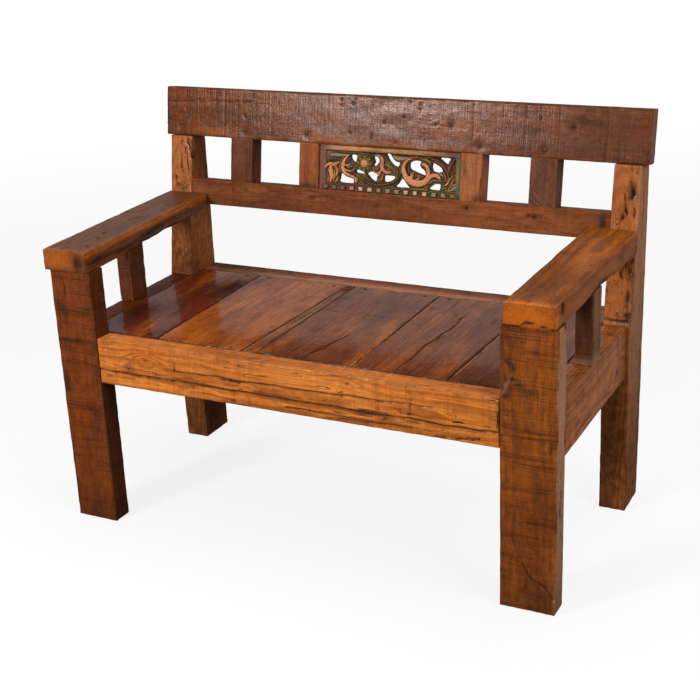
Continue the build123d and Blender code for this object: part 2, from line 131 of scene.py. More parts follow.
def value_noise(points: Array, cell: float, seed: int) -> Array:
    """Smooth random values between -1 and 1.

    Random values stand on a cubic lattice, and each point takes the eight around it, blended by the
    cubic step 3t^2 - 2t^3 along each axis.

    Args:
        points: places, one row each.
        cell: distance between lattice values.
        seed: picks the random values.

    Returns:
        One value for each row.
    """
    table = np.random.default_rng(seed).uniform(-1, 1, 8192)
    scaled = np.atleast_2d(points) / cell + 512
    low = np.floor(scaled).astype(np.int64)
    step = scaled - low
    step = step * step * (3 - 2 * step)
    primes = np.array([73, 1543, 6151])[: low.shape[1]]
    total = np.zeros(len(low))
    for corner in np.ndindex(*(2,) * low.shape[1]):
        shift = np.array(corner)
        weight = np.prod(np.where(shift == 1, step, 1 - step), axis=1)
        total += weight * table[((low + shift) @ primes) % len(table)]
    return total


def axis_lines(length: float, cell: float, radius: float) -> Array:
    """Grid lines along one side of a block: fixed steps in each rounded edge, even cells between.

    Args:
        length: the side's length.
        cell: wanted cell size between the rounded edges.
        radius: radius of the rounded edges, whose steps are 15 degrees of arc each.
    """
    edge = radius * (1 - np.tan(np.radians([45, 30, 15])))
    count = max(int(round((length - 2 * radius) / cell)), 2)
    middle = np.linspace(radius, length - radius, count + 1)
    return np.concatenate([edge, middle, (length - edge)[::-1]])


def smooth_curve(points: Sequence[Shares], closed: bool, steps: int = 9) -> Array:
    """Places along a smooth curve through points, by the Catmull-Rom cubic of each four in a row.

    Args:
        points: one row each; any number of columns.
        closed: whether the curve comes back to its start.
        steps: places between one point and the next.
    """
    rows = np.array(points, dtype=float)
    first, last = 2 * rows[:1] - rows[1:2], 2 * rows[-1:] - rows[-2:-1]
    rows = np.vstack([rows[-1:], rows, rows[:2]] if closed else [first, rows, last])
    a, b, c, d = (rows[k:len(rows) - 3 + k, None] for k in range(4))
    t = (np.arange(steps) / steps)[None, :, None]
    curve = 2 * b + (c - a) * t + (2 * a - 5 * b + 4 * c - d) * t ** 2
    curve = (curve + (3 * b - a - 3 * c + d) * t ** 3) / 2
    curve = curve.reshape(-1, rows.shape[1])
    return curve if closed else np.vstack([curve, rows[-2:-1]])


def path_distance(points: Array, path: Array) -> Array:
    """Distance of each point from the nearest of the straight lines between a path's places."""
    best = np.full(len(points), np.inf)
    for start, end in zip(path[:-1], path[1:]):
        way = end - start
        share = np.clip((points - start) @ way / max(way @ way, 1e-9), 0, 1)
        best = np.minimum(best, ((points - start - share[:, None] * way) ** 2).sum(axis=1))
    return np.sqrt(best)


def surface_lattice(counts: Sequence[int]) -> Tuple[Array, Array]:
    """Lattice points on the six faces of a block, each once, and the outward quads between them.

    A face is the grid of two axes with the third held at its first or last line, and the points that
    neighbouring faces share are found by one number for each point.
    """
    n = np.array(counts)
    sheets: List[Array] = []
    for axis in range(3):
        u, v = (axis + 1) % 3, (axis + 2) % 3
        a, b = np.meshgrid(np.arange(n[u]), np.arange(n[v]), indexing="ij")
        for end in (0, 1):
            place = [a, a, a]
            place[axis], place[u], place[v] = np.full_like(a, end * (n[axis] - 1)), a, b
            code = (place[0] * n[1] + place[1]) * n[2] + place[2]
            ring = [code[:-1, :-1], code[1:, :-1], code[1:, 1:], code[:-1, 1:]]
            sheets.append(np.stack([c.ravel() for c in (ring if end else ring[::-1])], axis=1))
    quads = np.concatenate(sheets)
    codes, index = np.unique(quads, return_inverse=True)
    lattice = np.stack([codes // (n[1] * n[2]), codes // n[2] % n[1], codes % n[2]], axis=1)
    return lattice, index.reshape(quads.shape)


def make_object(name: str, points: Array, faces: Array, middle: float,
                masks: Optional[Dict[str, Array]] = None) -> bpy.types.Object:
    """A smooth mesh object at the origin, from places in millimetres.

    Args:
        name: the piece's name.
        points: one row for each vertex, with y = 0 at the front legs.
        faces: one row of vertex numbers for each face.
        middle: depth that lies at y = 0 in the frame.
        masks: values kept on the vertices, by name; three columns make a colour.
    """
    mesh = bpy.data.meshes.new(name)
    mesh.from_pydata(((points - (0, middle, 0)) * METRE).tolist(), [], faces.tolist())
    for key, values in (masks or {}).items():
        if values.ndim == 1:
            attribute = mesh.attributes.new(key, "FLOAT", "POINT")
            attribute.data.foreach_set("value", values.astype(np.float32))
        else:
            attribute = mesh.attributes.new(key, "FLOAT_COLOR", "POINT")
            flat = np.concatenate([values, np.ones((len(values), 1))], axis=1)
            attribute.data.foreach_set("color", flat.astype(np.float32).ravel())
    mesh.polygons.foreach_set("use_smooth", np.ones(len(mesh.polygons), dtype=bool))
    mesh.set_sharp_from_angle(angle=math.radians(55))
    mesh.update()
    piece = bpy.data.objects.new(name, mesh)
    bpy.context.scene.collection.objects.link(piece)
    return piece


# Marks of age and work on a timber

@dataclass
class Surface:
    """A timber's surface while it is worked: places along, across and deep, and its masks."""

    points: Array
    size: Array
    inward: Array
    masks: Dict[str, Array]
    seed: int

    def reach(self, place: Shares, size: Shares) -> Array:
        """Squared distance from a place given in shares, in units of a size along each axis."""
        return (((self.points - np.array(place) * self.size) / np.array(size)) ** 2).sum(axis=1)

    def noise(self, cell: float, step: int) -> Array:
        """Smooth noise of its own for each step of the seed."""
        return value_noise(self.points, cell, self.seed + step)

    def shown(self, share: float) -> Array:
        """Whether each place lies within a share of the depth from the show face."""
        return self.points[:, 2] < share * self.size[2]

    def add(self, mask: str, values: Array) -> None:
        """Adds to a mask, held between nothing and one, apart from the figure."""
        total = self.masks[mask] + values
        self.masks[mask] = total if mask == "figure" else np.clip(total, 0, 1)


class Mark:
    """Something that age or work left on a timber."""

    def apply(self, surface: Surface) -> None:
        """Works the mark into the surface."""


class Tone(Enum):
    """Masks that a stain can lie in. Beside real marks, the pale mask also holds painted sheen, the glow mask
    a painted highlight and the crack mask painted shade.
    """

    DARK = "stain"
    BRIGHT = "glow"
    PALE = "dust"
    BLACK = "crack"


@dataclass(frozen=True)
class Stain(Mark):
    """A soft patch of another colour: a bell of a size in millimetres around a place in shares."""

    place: Shares
    size: Shares
    amount: float = 0.7
    tone: Tone = Tone.DARK

    def apply(self, surface: Surface) -> None:
        """Adds the bell exp(-r^2), its edge made ragged, to the mask of its tone."""
        ragged = 1 + 0.6 * surface.noise(9, 5)
        surface.add(self.tone.value, self.amount * np.exp(-surface.reach(self.place, self.size) * ragged))


@dataclass(frozen=True)
class Streak(Mark):
    """A long patch of another colour along a path, each place in three shares."""

    path: Tuple[Shares, ...]
    width: float = 9.0
    amount: float = 0.9
    tone: Tone = Tone.DARK

    def apply(self, surface: Surface) -> None:
        """Adds a ragged bell of the distance from the path to the mask of its tone."""
        curve = smooth_curve(np.array(self.path) * surface.size, False, 3)
        away = (path_distance(surface.points, curve) / self.width) ** 2
        away *= 1 + 0.7 * value_noise(surface.points * (0.4, 1, 1), 9, surface.seed + 6)
        surface.add(self.tone.value, self.amount * np.exp(-away))


@dataclass(frozen=True)
class Knot(Mark):
    """A knot that runs through the timber: the rings bend round it and its heart is dark."""

    place: Shares
    radius: float = 7.0
    pull: float = 9.0
    dark: float = 0.9

    def apply(self, surface: Surface) -> None:
        """Shifts the rings by a wide bell and darkens by a narrow one."""
        wide = surface.reach(self.place + (0,), (4.5 * self.radius, 2.2 * self.radius, np.inf))
        near = surface.reach(self.place + (0,), (self.radius, 0.8 * self.radius, np.inf))
        surface.add("figure", -self.pull * METRE * np.exp(-wide))
        surface.add("stain", self.dark * np.exp(-near * near))


@dataclass(frozen=True)
class Dent(Mark):
    """A round dent, hole or nail place in any face."""

    place: Shares
    radius: float = 4.0
    depth: float = 1.0
    dark: float = 0.8

    def apply(self, surface: Surface) -> None:
        """Sinks a bell into the face and darkens it."""
        bell = np.exp(-surface.reach(self.place, (self.radius,) * 3))
        surface.inward += self.depth * bell
        surface.add("crack", self.dark * bell ** 2)


@dataclass(frozen=True)
class SawStep(Mark):
    """A line right across the show face where the saw was moved: a small groove, darker on one side."""

    place: float
    depth: float = 0.28
    dark: float = 0.4
    width: float = 2.6

    def apply(self, surface: Surface) -> None:
        """Sinks a narrow bell along the line."""
        away = surface.points[:, 0] - self.place * surface.size[0]
        bell = np.where(surface.shown(0.2), np.exp(-(away / self.width) ** 2), 0)
        surface.inward += self.depth * bell
        surface.add("stain", self.dark * np.where(away < 0, bell, bell ** 4))


@dataclass(frozen=True)
class Split(Mark):
    """A jagged dark split or worm track in the show face, along points in shares."""

    path: Tuple[Shares, ...]
    width: float = 2.6
    depth: float = 1.8
    dark: float = 0.95
    jag: float = 2.0

    def apply(self, surface: Surface) -> None:
        """Sinks and darkens a bell of the distance from the path, whose edge wanders and breaks up."""
        curve = smooth_curve(np.array(self.path) * surface.size[:2], False, 5)
        shift = np.stack([surface.noise(7, step) for step in (11, 12)], axis=1)
        away = path_distance(surface.points[:, :2] + self.jag * shift, curve)
        patchy = np.clip(0.75 + 0.7 * surface.noise(11, 13), 0, 1)
        bell = np.where(surface.shown(0.25), np.exp(-(away / self.width) ** 2), 0) * patchy
        surface.inward += self.depth * bell
        surface.add("crack", self.dark * np.clip(1.6 * bell - 0.2, 0, 1))


@dataclass(frozen=True)
class Wane(Mark):
    """A corner that is missing over part of the length, such as a natural edge or a chip.

    Where the distances from the two faces, in units of the width and the depth, add up to less than
    one, the point is pushed along both until they do. Both sizes swell from nothing at the first
    share of the length to the whole, and fall again at the last.
    """

    corner: Tuple[int, int]
    width: float
    depth: float
    first: float
    last: float
    dark: float = 0.5

    def apply(self, surface: Surface) -> None:
        """Pushes the corner in."""
        share = surface.points[:, 0] / surface.size[0]
        span = self.last - self.first
        rise = np.clip((share - self.first) / max(0.45 * span, 0.02), 0, 1)
        fall = np.clip((self.last - share) / max(0.18 * span, 0.02), 0, 1)
        rough = 1 + 0.25 * value_noise(surface.points[:, :1], 38, surface.seed)
        swell = np.sqrt(np.minimum(rise, fall)) * rough + 1e-6
        reach = np.stack([self.width * swell, self.depth * swell], axis=1)
        corner = np.array(self.corner)
        away = np.abs(corner * surface.size[1:] - surface.points[:, 1:])
        short = np.clip(1 - (away / reach).sum(axis=1), 0, None) / 2
        surface.points[:, 1:] += (1 - 2 * corner) * short[:, None] * reach
        surface.add("stain", self.dark * np.clip(short * 6, 0, 1))


@dataclass(frozen=True)
class Crack:
    """A crack in the show face, along the grain, from one place to another in shares."""

    start: Shares
    end: Shares
    width: float = 1.0
    depth: float = 3.2
    wander: float = 2.0


@dataclass
class Timber:
    """One timber: a rounded, worn block carried from its own grid into the bench.

    The block has places along, across and deep. Each station is a cross-section of the real timber,
    two corners on the show face and two behind it, and a place in the block is blended between the
    corners of the stations on either side of it.
    """

    name: str
    node: str
    slot: str
    stations: Sequence[Sequence[Sequence[Place]]]
    finish: "TimberFinish"
    seed: int
    marks: Sequence[Mark] = ()
    cracks: Sequence[Crack] = ()
    stops: Optional[Sequence[float]] = None
    cell: float = 3.2
    radius: float = 2.4
    wobble: float = 0.5
    wear: float = 0.9
    sections: Array = field(init=False)
    size: Array = field(init=False)

    def __post_init__(self) -> None:
        """Works out the block's length, width and thickness from the stations."""
        self.sections = np.array(self.stations, dtype=float)
        if self.stops is None:
            self.stops = np.linspace(0, 1, len(self.sections))
        middles = self.sections.mean(axis=(1, 2))
        along = np.linalg.norm(np.diff(middles, axis=0), axis=1).sum()
        across = np.linalg.norm(self.sections[:, :, 1] - self.sections[:, :, 0], axis=2).mean()
        deep = np.linalg.norm(self.sections[:, 1] - self.sections[:, 0], axis=2).mean()
        self.size = np.array([along, across, deep])

    def axes(self) -> Array:
        """Unit vectors along, across and deep, as rows of a right-handed turn."""
        along = self.sections[-1].mean(axis=(0, 1)) - self.sections[0].mean(axis=(0, 1))
        along /= np.linalg.norm(along)
        across = (self.sections[:, :, 1] - self.sections[:, :, 0]).mean(axis=(0, 1))
        across -= along * (across @ along)
        across /= np.linalg.norm(across)
        return np.array([along, across, np.cross(along, across)])

    def crack_rows(self, lines: List[Array]) -> Tuple[Array, Array, Array]:
        """Moves rows of the show face onto the cracks.

        Each crack takes three rows: its floor and the two lips beside it. Their path is a straight
        line with a slow wander, and the rows between two cracks are spaced evenly.

        Returns:
            For each column and row: the place across, the depth and the darkness, which is painted shade in
                the crack.
        """
        columns, rows = len(lines[0]), len(lines[1])
        share = lines[0] / self.size[0]
        depth = np.zeros((columns, rows))
        dark = np.zeros((columns, rows))
        anchors = [(3, np.full(columns, lines[1][3]))]
        row = 4
        for number, crack in enumerate(sorted(self.cracks, key=lambda c: c.start[1] + c.end[1])):
            part = np.clip((share - crack.start[0]) / (crack.end[0] - crack.start[0]), 0, 1)
            straight = (crack.start[1] + (crack.end[1] - crack.start[1]) * part) * self.size[1]
            path = straight + crack.wander * value_noise(lines[0][:, None], 34, self.seed + 31 * number)
            clear = lines[1][3] + 2.5 * crack.width
            path = np.clip(path, clear, self.size[1] - clear)
            nearest = int(np.abs(lines[1] - path.mean()).argmin())
            row = min(max(nearest, row + 1), rows - 6)
            profile = np.sqrt(np.clip(np.sin(np.pi * part), 0, 1))
            profile *= 0.75 + 0.25 * value_noise(lines[0][:, None], 9, self.seed + 7 * number)
            depth[:, row] = crack.depth * profile
            # The crack floor is painted dark and its lips a little less: painted shade in the crack, which
            # also hides the lamp's highlight on the lips.
            dark[:, row] = np.clip(1.6 * profile, 0, 1)
            dark[:, [row - 1, row + 1]] = 0.55 * dark[:, row, None]
            for step in (-1, 0, 1):
                anchors.append((row + step, path + step * crack.width))
            row += 3
        anchors.append((rows - 4, np.full(columns, lines[1][-4])))
        across = np.tile(lines[1], (columns, 1))
        for (first, low), (last, high) in zip(anchors[:-1], anchors[1:]):
            part = (np.arange(first, last + 1) - first) / max(last - first, 1)
            across[:, first:last + 1] = low[:, None] + (high - low)[:, None] * part
        return across, depth, dark

    def worked(self) -> Tuple[Surface, Array]:
        """The block's surface with its rounded edges, cracks, marks, wear and unevenness.

        Each lattice point is held inside the block shrunk by the edge radius, and then set off by the
        radius along the line back to the point, which rounds every edge and corner.
        """
        radius = min(self.radius, self.size.min() / 4)
        cells = (self.cell, self.cell, max(self.cell, self.size[2] / 10))
        lines = [axis_lines(self.size[a], cells[a], radius) for a in range(3)]
        lattice, quads = surface_lattice([len(line) for line in lines])
        across, depth, dark = self.crack_rows(lines)
        i, j, k = lattice.T
        behind = k / (len(lines[2]) - 1)
        shown = k == 0
        sideways = lines[1][j] * behind + across[i, j] * (1 - behind)
        block = np.stack([lines[0][i], sideways, lines[2][k]], axis=1)
        inner = np.clip(block, radius, self.size - radius)
        normals = block - inner
        normals /= np.linalg.norm(normals, axis=1, keepdims=True)
        points = inner + normals * radius
        from_faces = np.sort(np.minimum(points, self.size - points), axis=1)
        masks = {key: np.zeros(len(points)) for key in ("figure", "stain", "glow", "dust", "crack")}
        masks["edge"] = np.exp(-(from_faces[:, 1] / 4.5) ** 2)
        masks["end"] = np.clip((np.abs(normals[:, 0]) - 0.55) * 5, 0, 1)
        surface = Surface(points, self.size, np.zeros(len(points)), masks, self.seed)
        for mark in self.marks:
            mark.apply(surface)
        surface.inward += np.where(shown, depth[i, j], 0)
        surface.add("crack", np.where(shown, dark[i, j], 0))
        slow = value_noise(points * (0.3, 1, 1), 26, self.seed)
        fine = value_noise(points, 8, self.seed + 1)
        surface.inward += self.wobble * (1 + 0.75 * slow + 0.25 * fine) / 2
        arris = np.exp(-(from_faces[:, 1] / 2.5) ** 2)
        bumps = value_noise(points * (0.35, 1, 1), 7, self.seed + 2)
        surface.inward += self.wear * arris * np.clip(0.35 + 0.9 * bumps, 0, None)
        surface.points -= normals * surface.inward[:, None]
        return surface, quads

    def carried(self, points: Array) -> Array:
        """Places of the block, carried to the bench by blending the corners of the stations."""
        shares = np.clip(points / self.size, 0, 1)
        flat = self.sections.reshape(len(self.sections), 12)
        section = np.stack([np.interp(shares[:, 0], self.stops, column) for column in flat.T], axis=1)
        section = section.reshape(-1, 2, 2, 3)
        across = shares[:, 1, None, None]
        rows = section[:, :, 0] * (1 - across) + section[:, :, 1] * across
        deep = shares[:, 2, None]
        return rows[:, 0] * (1 - deep) + rows[:, 1] * deep

    def build(self, datum: Datum) -> bpy.types.Object:
        """Makes the piece, dresses it and puts it in its CAD node's place."""
        surface, quads = self.worked()
        axes = self.axes()
        drift = (self.sections[:, 1] - self.sections[:, 0]).mean(axis=(0, 1))
        if axes[2] @ drift < 0:
            quads = quads[:, ::-1]
        piece = make_object(self.name, self.carried(surface.points), quads, datum.middle, surface.masks)
        centre = self.sections.mean(axis=(0, 1, 2)) - (0, datum.middle, 0)
        piece.data.materials.append(self.finish.material(self.name, axes, centre * METRE, self.seed))
        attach(piece, BODY)
        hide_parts(self.node)
        LOG.info("%s: %.0f x %.0f x %.0f mm, %d faces", self.name, *self.size, len(quads))
        return piece


DARK, BRIGHT, PALE, BLACK = Tone


def stains(tone: Tone, *rows: Shares) -> Tuple[Mark, ...]:
    """Stains of one tone, each from a row of its place, its sizes and its amount."""
    return tuple(Stain(row[:3], row[3:6], row[6], tone) for row in rows)


def dents(*rows: Shares) -> Tuple[Mark, ...]:
    """Dents in the show face, each from a row of its two shares, radius, depth and darkness."""
    return tuple(Dent((along, across, 0), *rest) for along, across, *rest in rows)


# Shader graphs

class Graph:
    """A node tree under construction, with a short method for each kind of node used here."""

    def __init__(self, tree: Tree) -> None:
        """Starts on an empty tree."""
        self.tree = tree
        tree.nodes.clear()

    def add(self, kind: str, first: str = "ShaderNode", **settings: object) -> bpy.types.Node:
        """Adds a node of a kind, whose name follows a first word, and sets its properties."""
        node = self.tree.nodes.new(first + kind)
        for key, value in settings.items():
            setattr(node, key, value)
        return node

    def feed(self, socket: Socket, value: object) -> None:
        """Links a socket to an output, or sets its value."""
        if isinstance(value, Socket):
            self.tree.links.new(value, socket)
        elif isinstance(value, tuple) and len(value) == 3 and socket.type == "RGBA":
            socket.default_value = (*value, 1)
        else:
            socket.default_value = value

    def feeds(self, sockets: Inputs, values: Dict[object, object]) -> None:
        """Feeds several of a node's inputs, by name or number."""
        for key, value in values.items():
            self.feed(sockets[key], value)

    def math(self, operation: str, *values: object, clamp: bool = False) -> Socket:
        """A Math node's result."""
        node = self.add("Math", operation=operation, use_clamp=clamp)
        self.feeds(node.inputs, dict(enumerate(values)))
        return node.outputs[0]

    def times(self, first: object, second: object) -> Socket:
        """Two values multiplied."""
        return self.math("MULTIPLY", first, second)

    def more(self, value: object, factor: object, start: object) -> Socket:
        """A start, and a value times a factor more."""
        return self.math("MULTIPLY_ADD", value, factor, start)

    def most(self, *values: object) -> Socket:
        """The greatest of some values."""
        return reduce(lambda first, second: self.math("MAXIMUM", first, second), values)

    def vector(self, operation: str, *values: object) -> Socket:
        """A Vector Math node's result, a number for a length."""
        node = self.add("VectorMath", operation=operation)
        self.feeds(node.inputs, dict(enumerate(values)))
        return node.outputs["Value" if operation == "LENGTH" else "Vector"]

    def noise(self, place: Socket, stretch: Shares, detail: float = 2, roughness: float = 0.5,
              output: str = "Fac") -> Socket:
        """Noise with so many cells to a metre along each axis."""
        node = self.add("TexNoise")
        place = self.vector("MULTIPLY", place, stretch)
        self.feeds(node.inputs, {"Vector": place, "Scale": 1, "Detail": detail, "Roughness": roughness})
        return node.outputs[output]

    def spread(self, value: object, low: object, high: object, first: float = 0, last: float = 1) -> Socket:
        """A smooth step of a value between two limits."""
        node = self.add("MapRange", interpolation_type="SMOOTHSTEP")
        names = ("Value", "From Min", "From Max", "To Min", "To Max")
        self.feeds(node.inputs, dict(zip(names, (value, low, high, first, last))))
        return node.outputs[0]

    def mix(self, share: object, first: object, second: object, blend: str = "MIX") -> Socket:
        """A blend of two colours."""
        node = self.add("Mix", data_type="RGBA", blend_type=blend)
        self.feeds(node.inputs, {0: share, 6: first, 7: second})
        return node.outputs[2]

    def mask(self, name: str, output: str = "Fac") -> Socket:
        """A value kept on the vertices."""
        return self.add("Attribute", attribute_name=name).outputs[output]

    def place(self) -> Socket:
        """The object's own coordinates, in metres."""
        return self.add("TexCoord").outputs["Object"]

    def split(self, place: Socket) -> Outputs:
        """The three parts of a place, by name."""
        node = self.add("SeparateXYZ")
        self.feed(node.inputs[0], place)
        return node.outputs

    def bump(self, height: Socket, distance: float) -> Socket:
        """A normal for a height in units of a distance in metres."""
        node = self.add("Bump")
        self.feeds(node.inputs, {"Strength": 1, "Distance": distance, "Height": height})
        return node.outputs[0]

    def group(self, tree: Tree, **inputs: object) -> Outputs:
        """A group's outputs, its inputs fed by name with underscores for spaces."""
        node = self.add("Group", node_tree=tree)
        self.feeds(node.inputs, {key.replace("_", " "): value for key, value in inputs.items()})
        return node.outputs


class GroupBuilder:
    """The shader groups that more than one finish uses, each built once."""

    def start(self, name: str, inputs: Dict[str, float],
              outputs: Sequence[str]) -> Tuple[Graph, Outputs, Inputs]:
        """Opens a new group with a Place input, the inputs named with their usual values, and outputs."""
        tree = bpy.data.node_groups.new(name, "ShaderNodeTree")
        new = tree.interface.new_socket
        new(name="Place", in_out="INPUT", socket_type="NodeSocketVector")
        for key, value in inputs.items():
            new(name=key, in_out="INPUT", socket_type="NodeSocketFloat").default_value = value
        for key in outputs:
            new(name=key, in_out="OUTPUT", socket_type="NodeSocketFloat")
        graph = Graph(tree)
        return graph, graph.add("Input", "NodeGroup").outputs, graph.add("Output", "NodeGroup").inputs

    @cached_property
    def figure(self) -> Tree:
        """Growth rings, fibres and clouds of a log whose heart runs along X.

        The rings are the distance from the heart, wandering slowly along the log, divided by the ring
        width: each rises slowly and falls sharply.
        """
        graph, entry, leave = self.start("timber_figure", {"Shift": 0, "Ring width": 0.006, "Wander": 0.03},
                                         ("Rings", "Fibres", "Clouds"))
        place = entry["Place"]
        drift = graph.vector("SUBTRACT", graph.noise(place, (1.6, 5, 5), output="Color"), (0.5, 0.5, 0.5))
        wandered = graph.vector("ADD", place, graph.vector("MULTIPLY", drift, entry["Wander"]))
        radius = graph.vector("LENGTH", graph.vector("MULTIPLY", wandered, (0, 1, 1)))
        radius = graph.more(graph.noise(place, (7, 45, 45)), 0.004, radius)
        radius = graph.math("ADD", radius, entry["Shift"])
        phase = graph.math("FRACT", graph.math("DIVIDE", radius, entry["Ring width"]))
        rise, fall = graph.spread(phase, 0.1, 0.82), graph.spread(phase, 0.86, 1)
        graph.feeds(leave, {"Rings": graph.math("SUBTRACT", rise, fall, clamp=True),
                            "Fibres": graph.noise(place, (11, 330, 330), 4, 0.65),
                            "Clouds": graph.noise(place, (3.5, 14, 14), 3, 0.55)})
        return graph.tree

    @cached_property
    def saw(self) -> Tree:
        """Marks of the saw blade across the grain: fine lines and wider bands, with a slant."""
        graph, entry, leave = self.start("saw_marks", {"Spacing": 0.006, "Slant": 0}, ("Lines", "Bands"))
        parts = graph.split(entry["Place"])
        along = graph.more(parts["Y"], entry["Slant"], parts["X"])
        join = graph.add("CombineXYZ")
        graph.feeds(join.inputs, {"X": graph.math("DIVIDE", along, entry["Spacing"]),
                                  "Y": graph.times(parts["Y"], 9), "Z": graph.times(parts["Z"], 9)})
        place = join.outputs[0]
        graph.feeds(leave, {"Lines": graph.spread(graph.noise(place, (1, 1, 1), 2, 0.6), 0.42, 0.68),
                            "Bands": graph.spread(graph.noise(place, (0.16, 0.45, 0.45), 1), 0.36, 0.64)})
        return graph.tree

    @cached_property
    def weather(self) -> Tree:
        """Worn edges, grime, pits and hairline cracks along the grain."""
        graph, entry, leave = self.start("weather", {"Edge": 0}, ("Worn", "Grime", "Pits", "Hairs", "Mottle"))
        place, edge, spread = entry["Place"], entry["Edge"], graph.spread
        worn = graph.more(graph.noise(place, (22, 60, 60), 4, 0.6), 1.6, graph.math("SUBTRACT", edge, 0.8))
        grime = graph.more(edge, 0.1, graph.noise(place, (14, 38, 38), 5, 0.65))
        thin = graph.math("ABSOLUTE", graph.math("SUBTRACT", graph.noise(place, (6, 90, 90)), 0.5))
        present = spread(graph.noise(place, (5, 16, 16)), 0.46, 0.58)
        graph.feeds(leave, {"Worn": spread(worn, 0.5, 1), "Grime": spread(grime, 0.5, 0.72),
                            "Mottle": spread(graph.noise(place, (45, 110, 110), 5, 0.72), 0.4, 0.66),
                            "Pits": spread(graph.noise(place, (150, 260, 260), 3, 0.6), 0.6, 0.72),
                            "Hairs": graph.times(spread(thin, 0, 0.014, 1, 0), present)})
        return graph.tree


GROUPS = GroupBuilder()
# Near-black of pits, holes, cracks and black stains; in the cracks and in some black stains it is painted
# shade.
SOOT_AND_SHADE = (0.012, 0.006, 0.004)
FIGURE_STEP = 1.37  # metres along the log from one timber to the next


def new_material(name: str) -> Tuple[Material, Graph, Inputs]:
    """A material with a Principled shader, its graph and that shader's sockets."""
    material = bpy.data.materials.new(name)
    material.use_nodes = True
    graph = Graph(material.node_tree)
    shader = graph.add("BsdfPrincipled")
    graph.feed(graph.add("OutputMaterial").inputs["Surface"], shader.outputs[0])
    return material, graph, shader.inputs


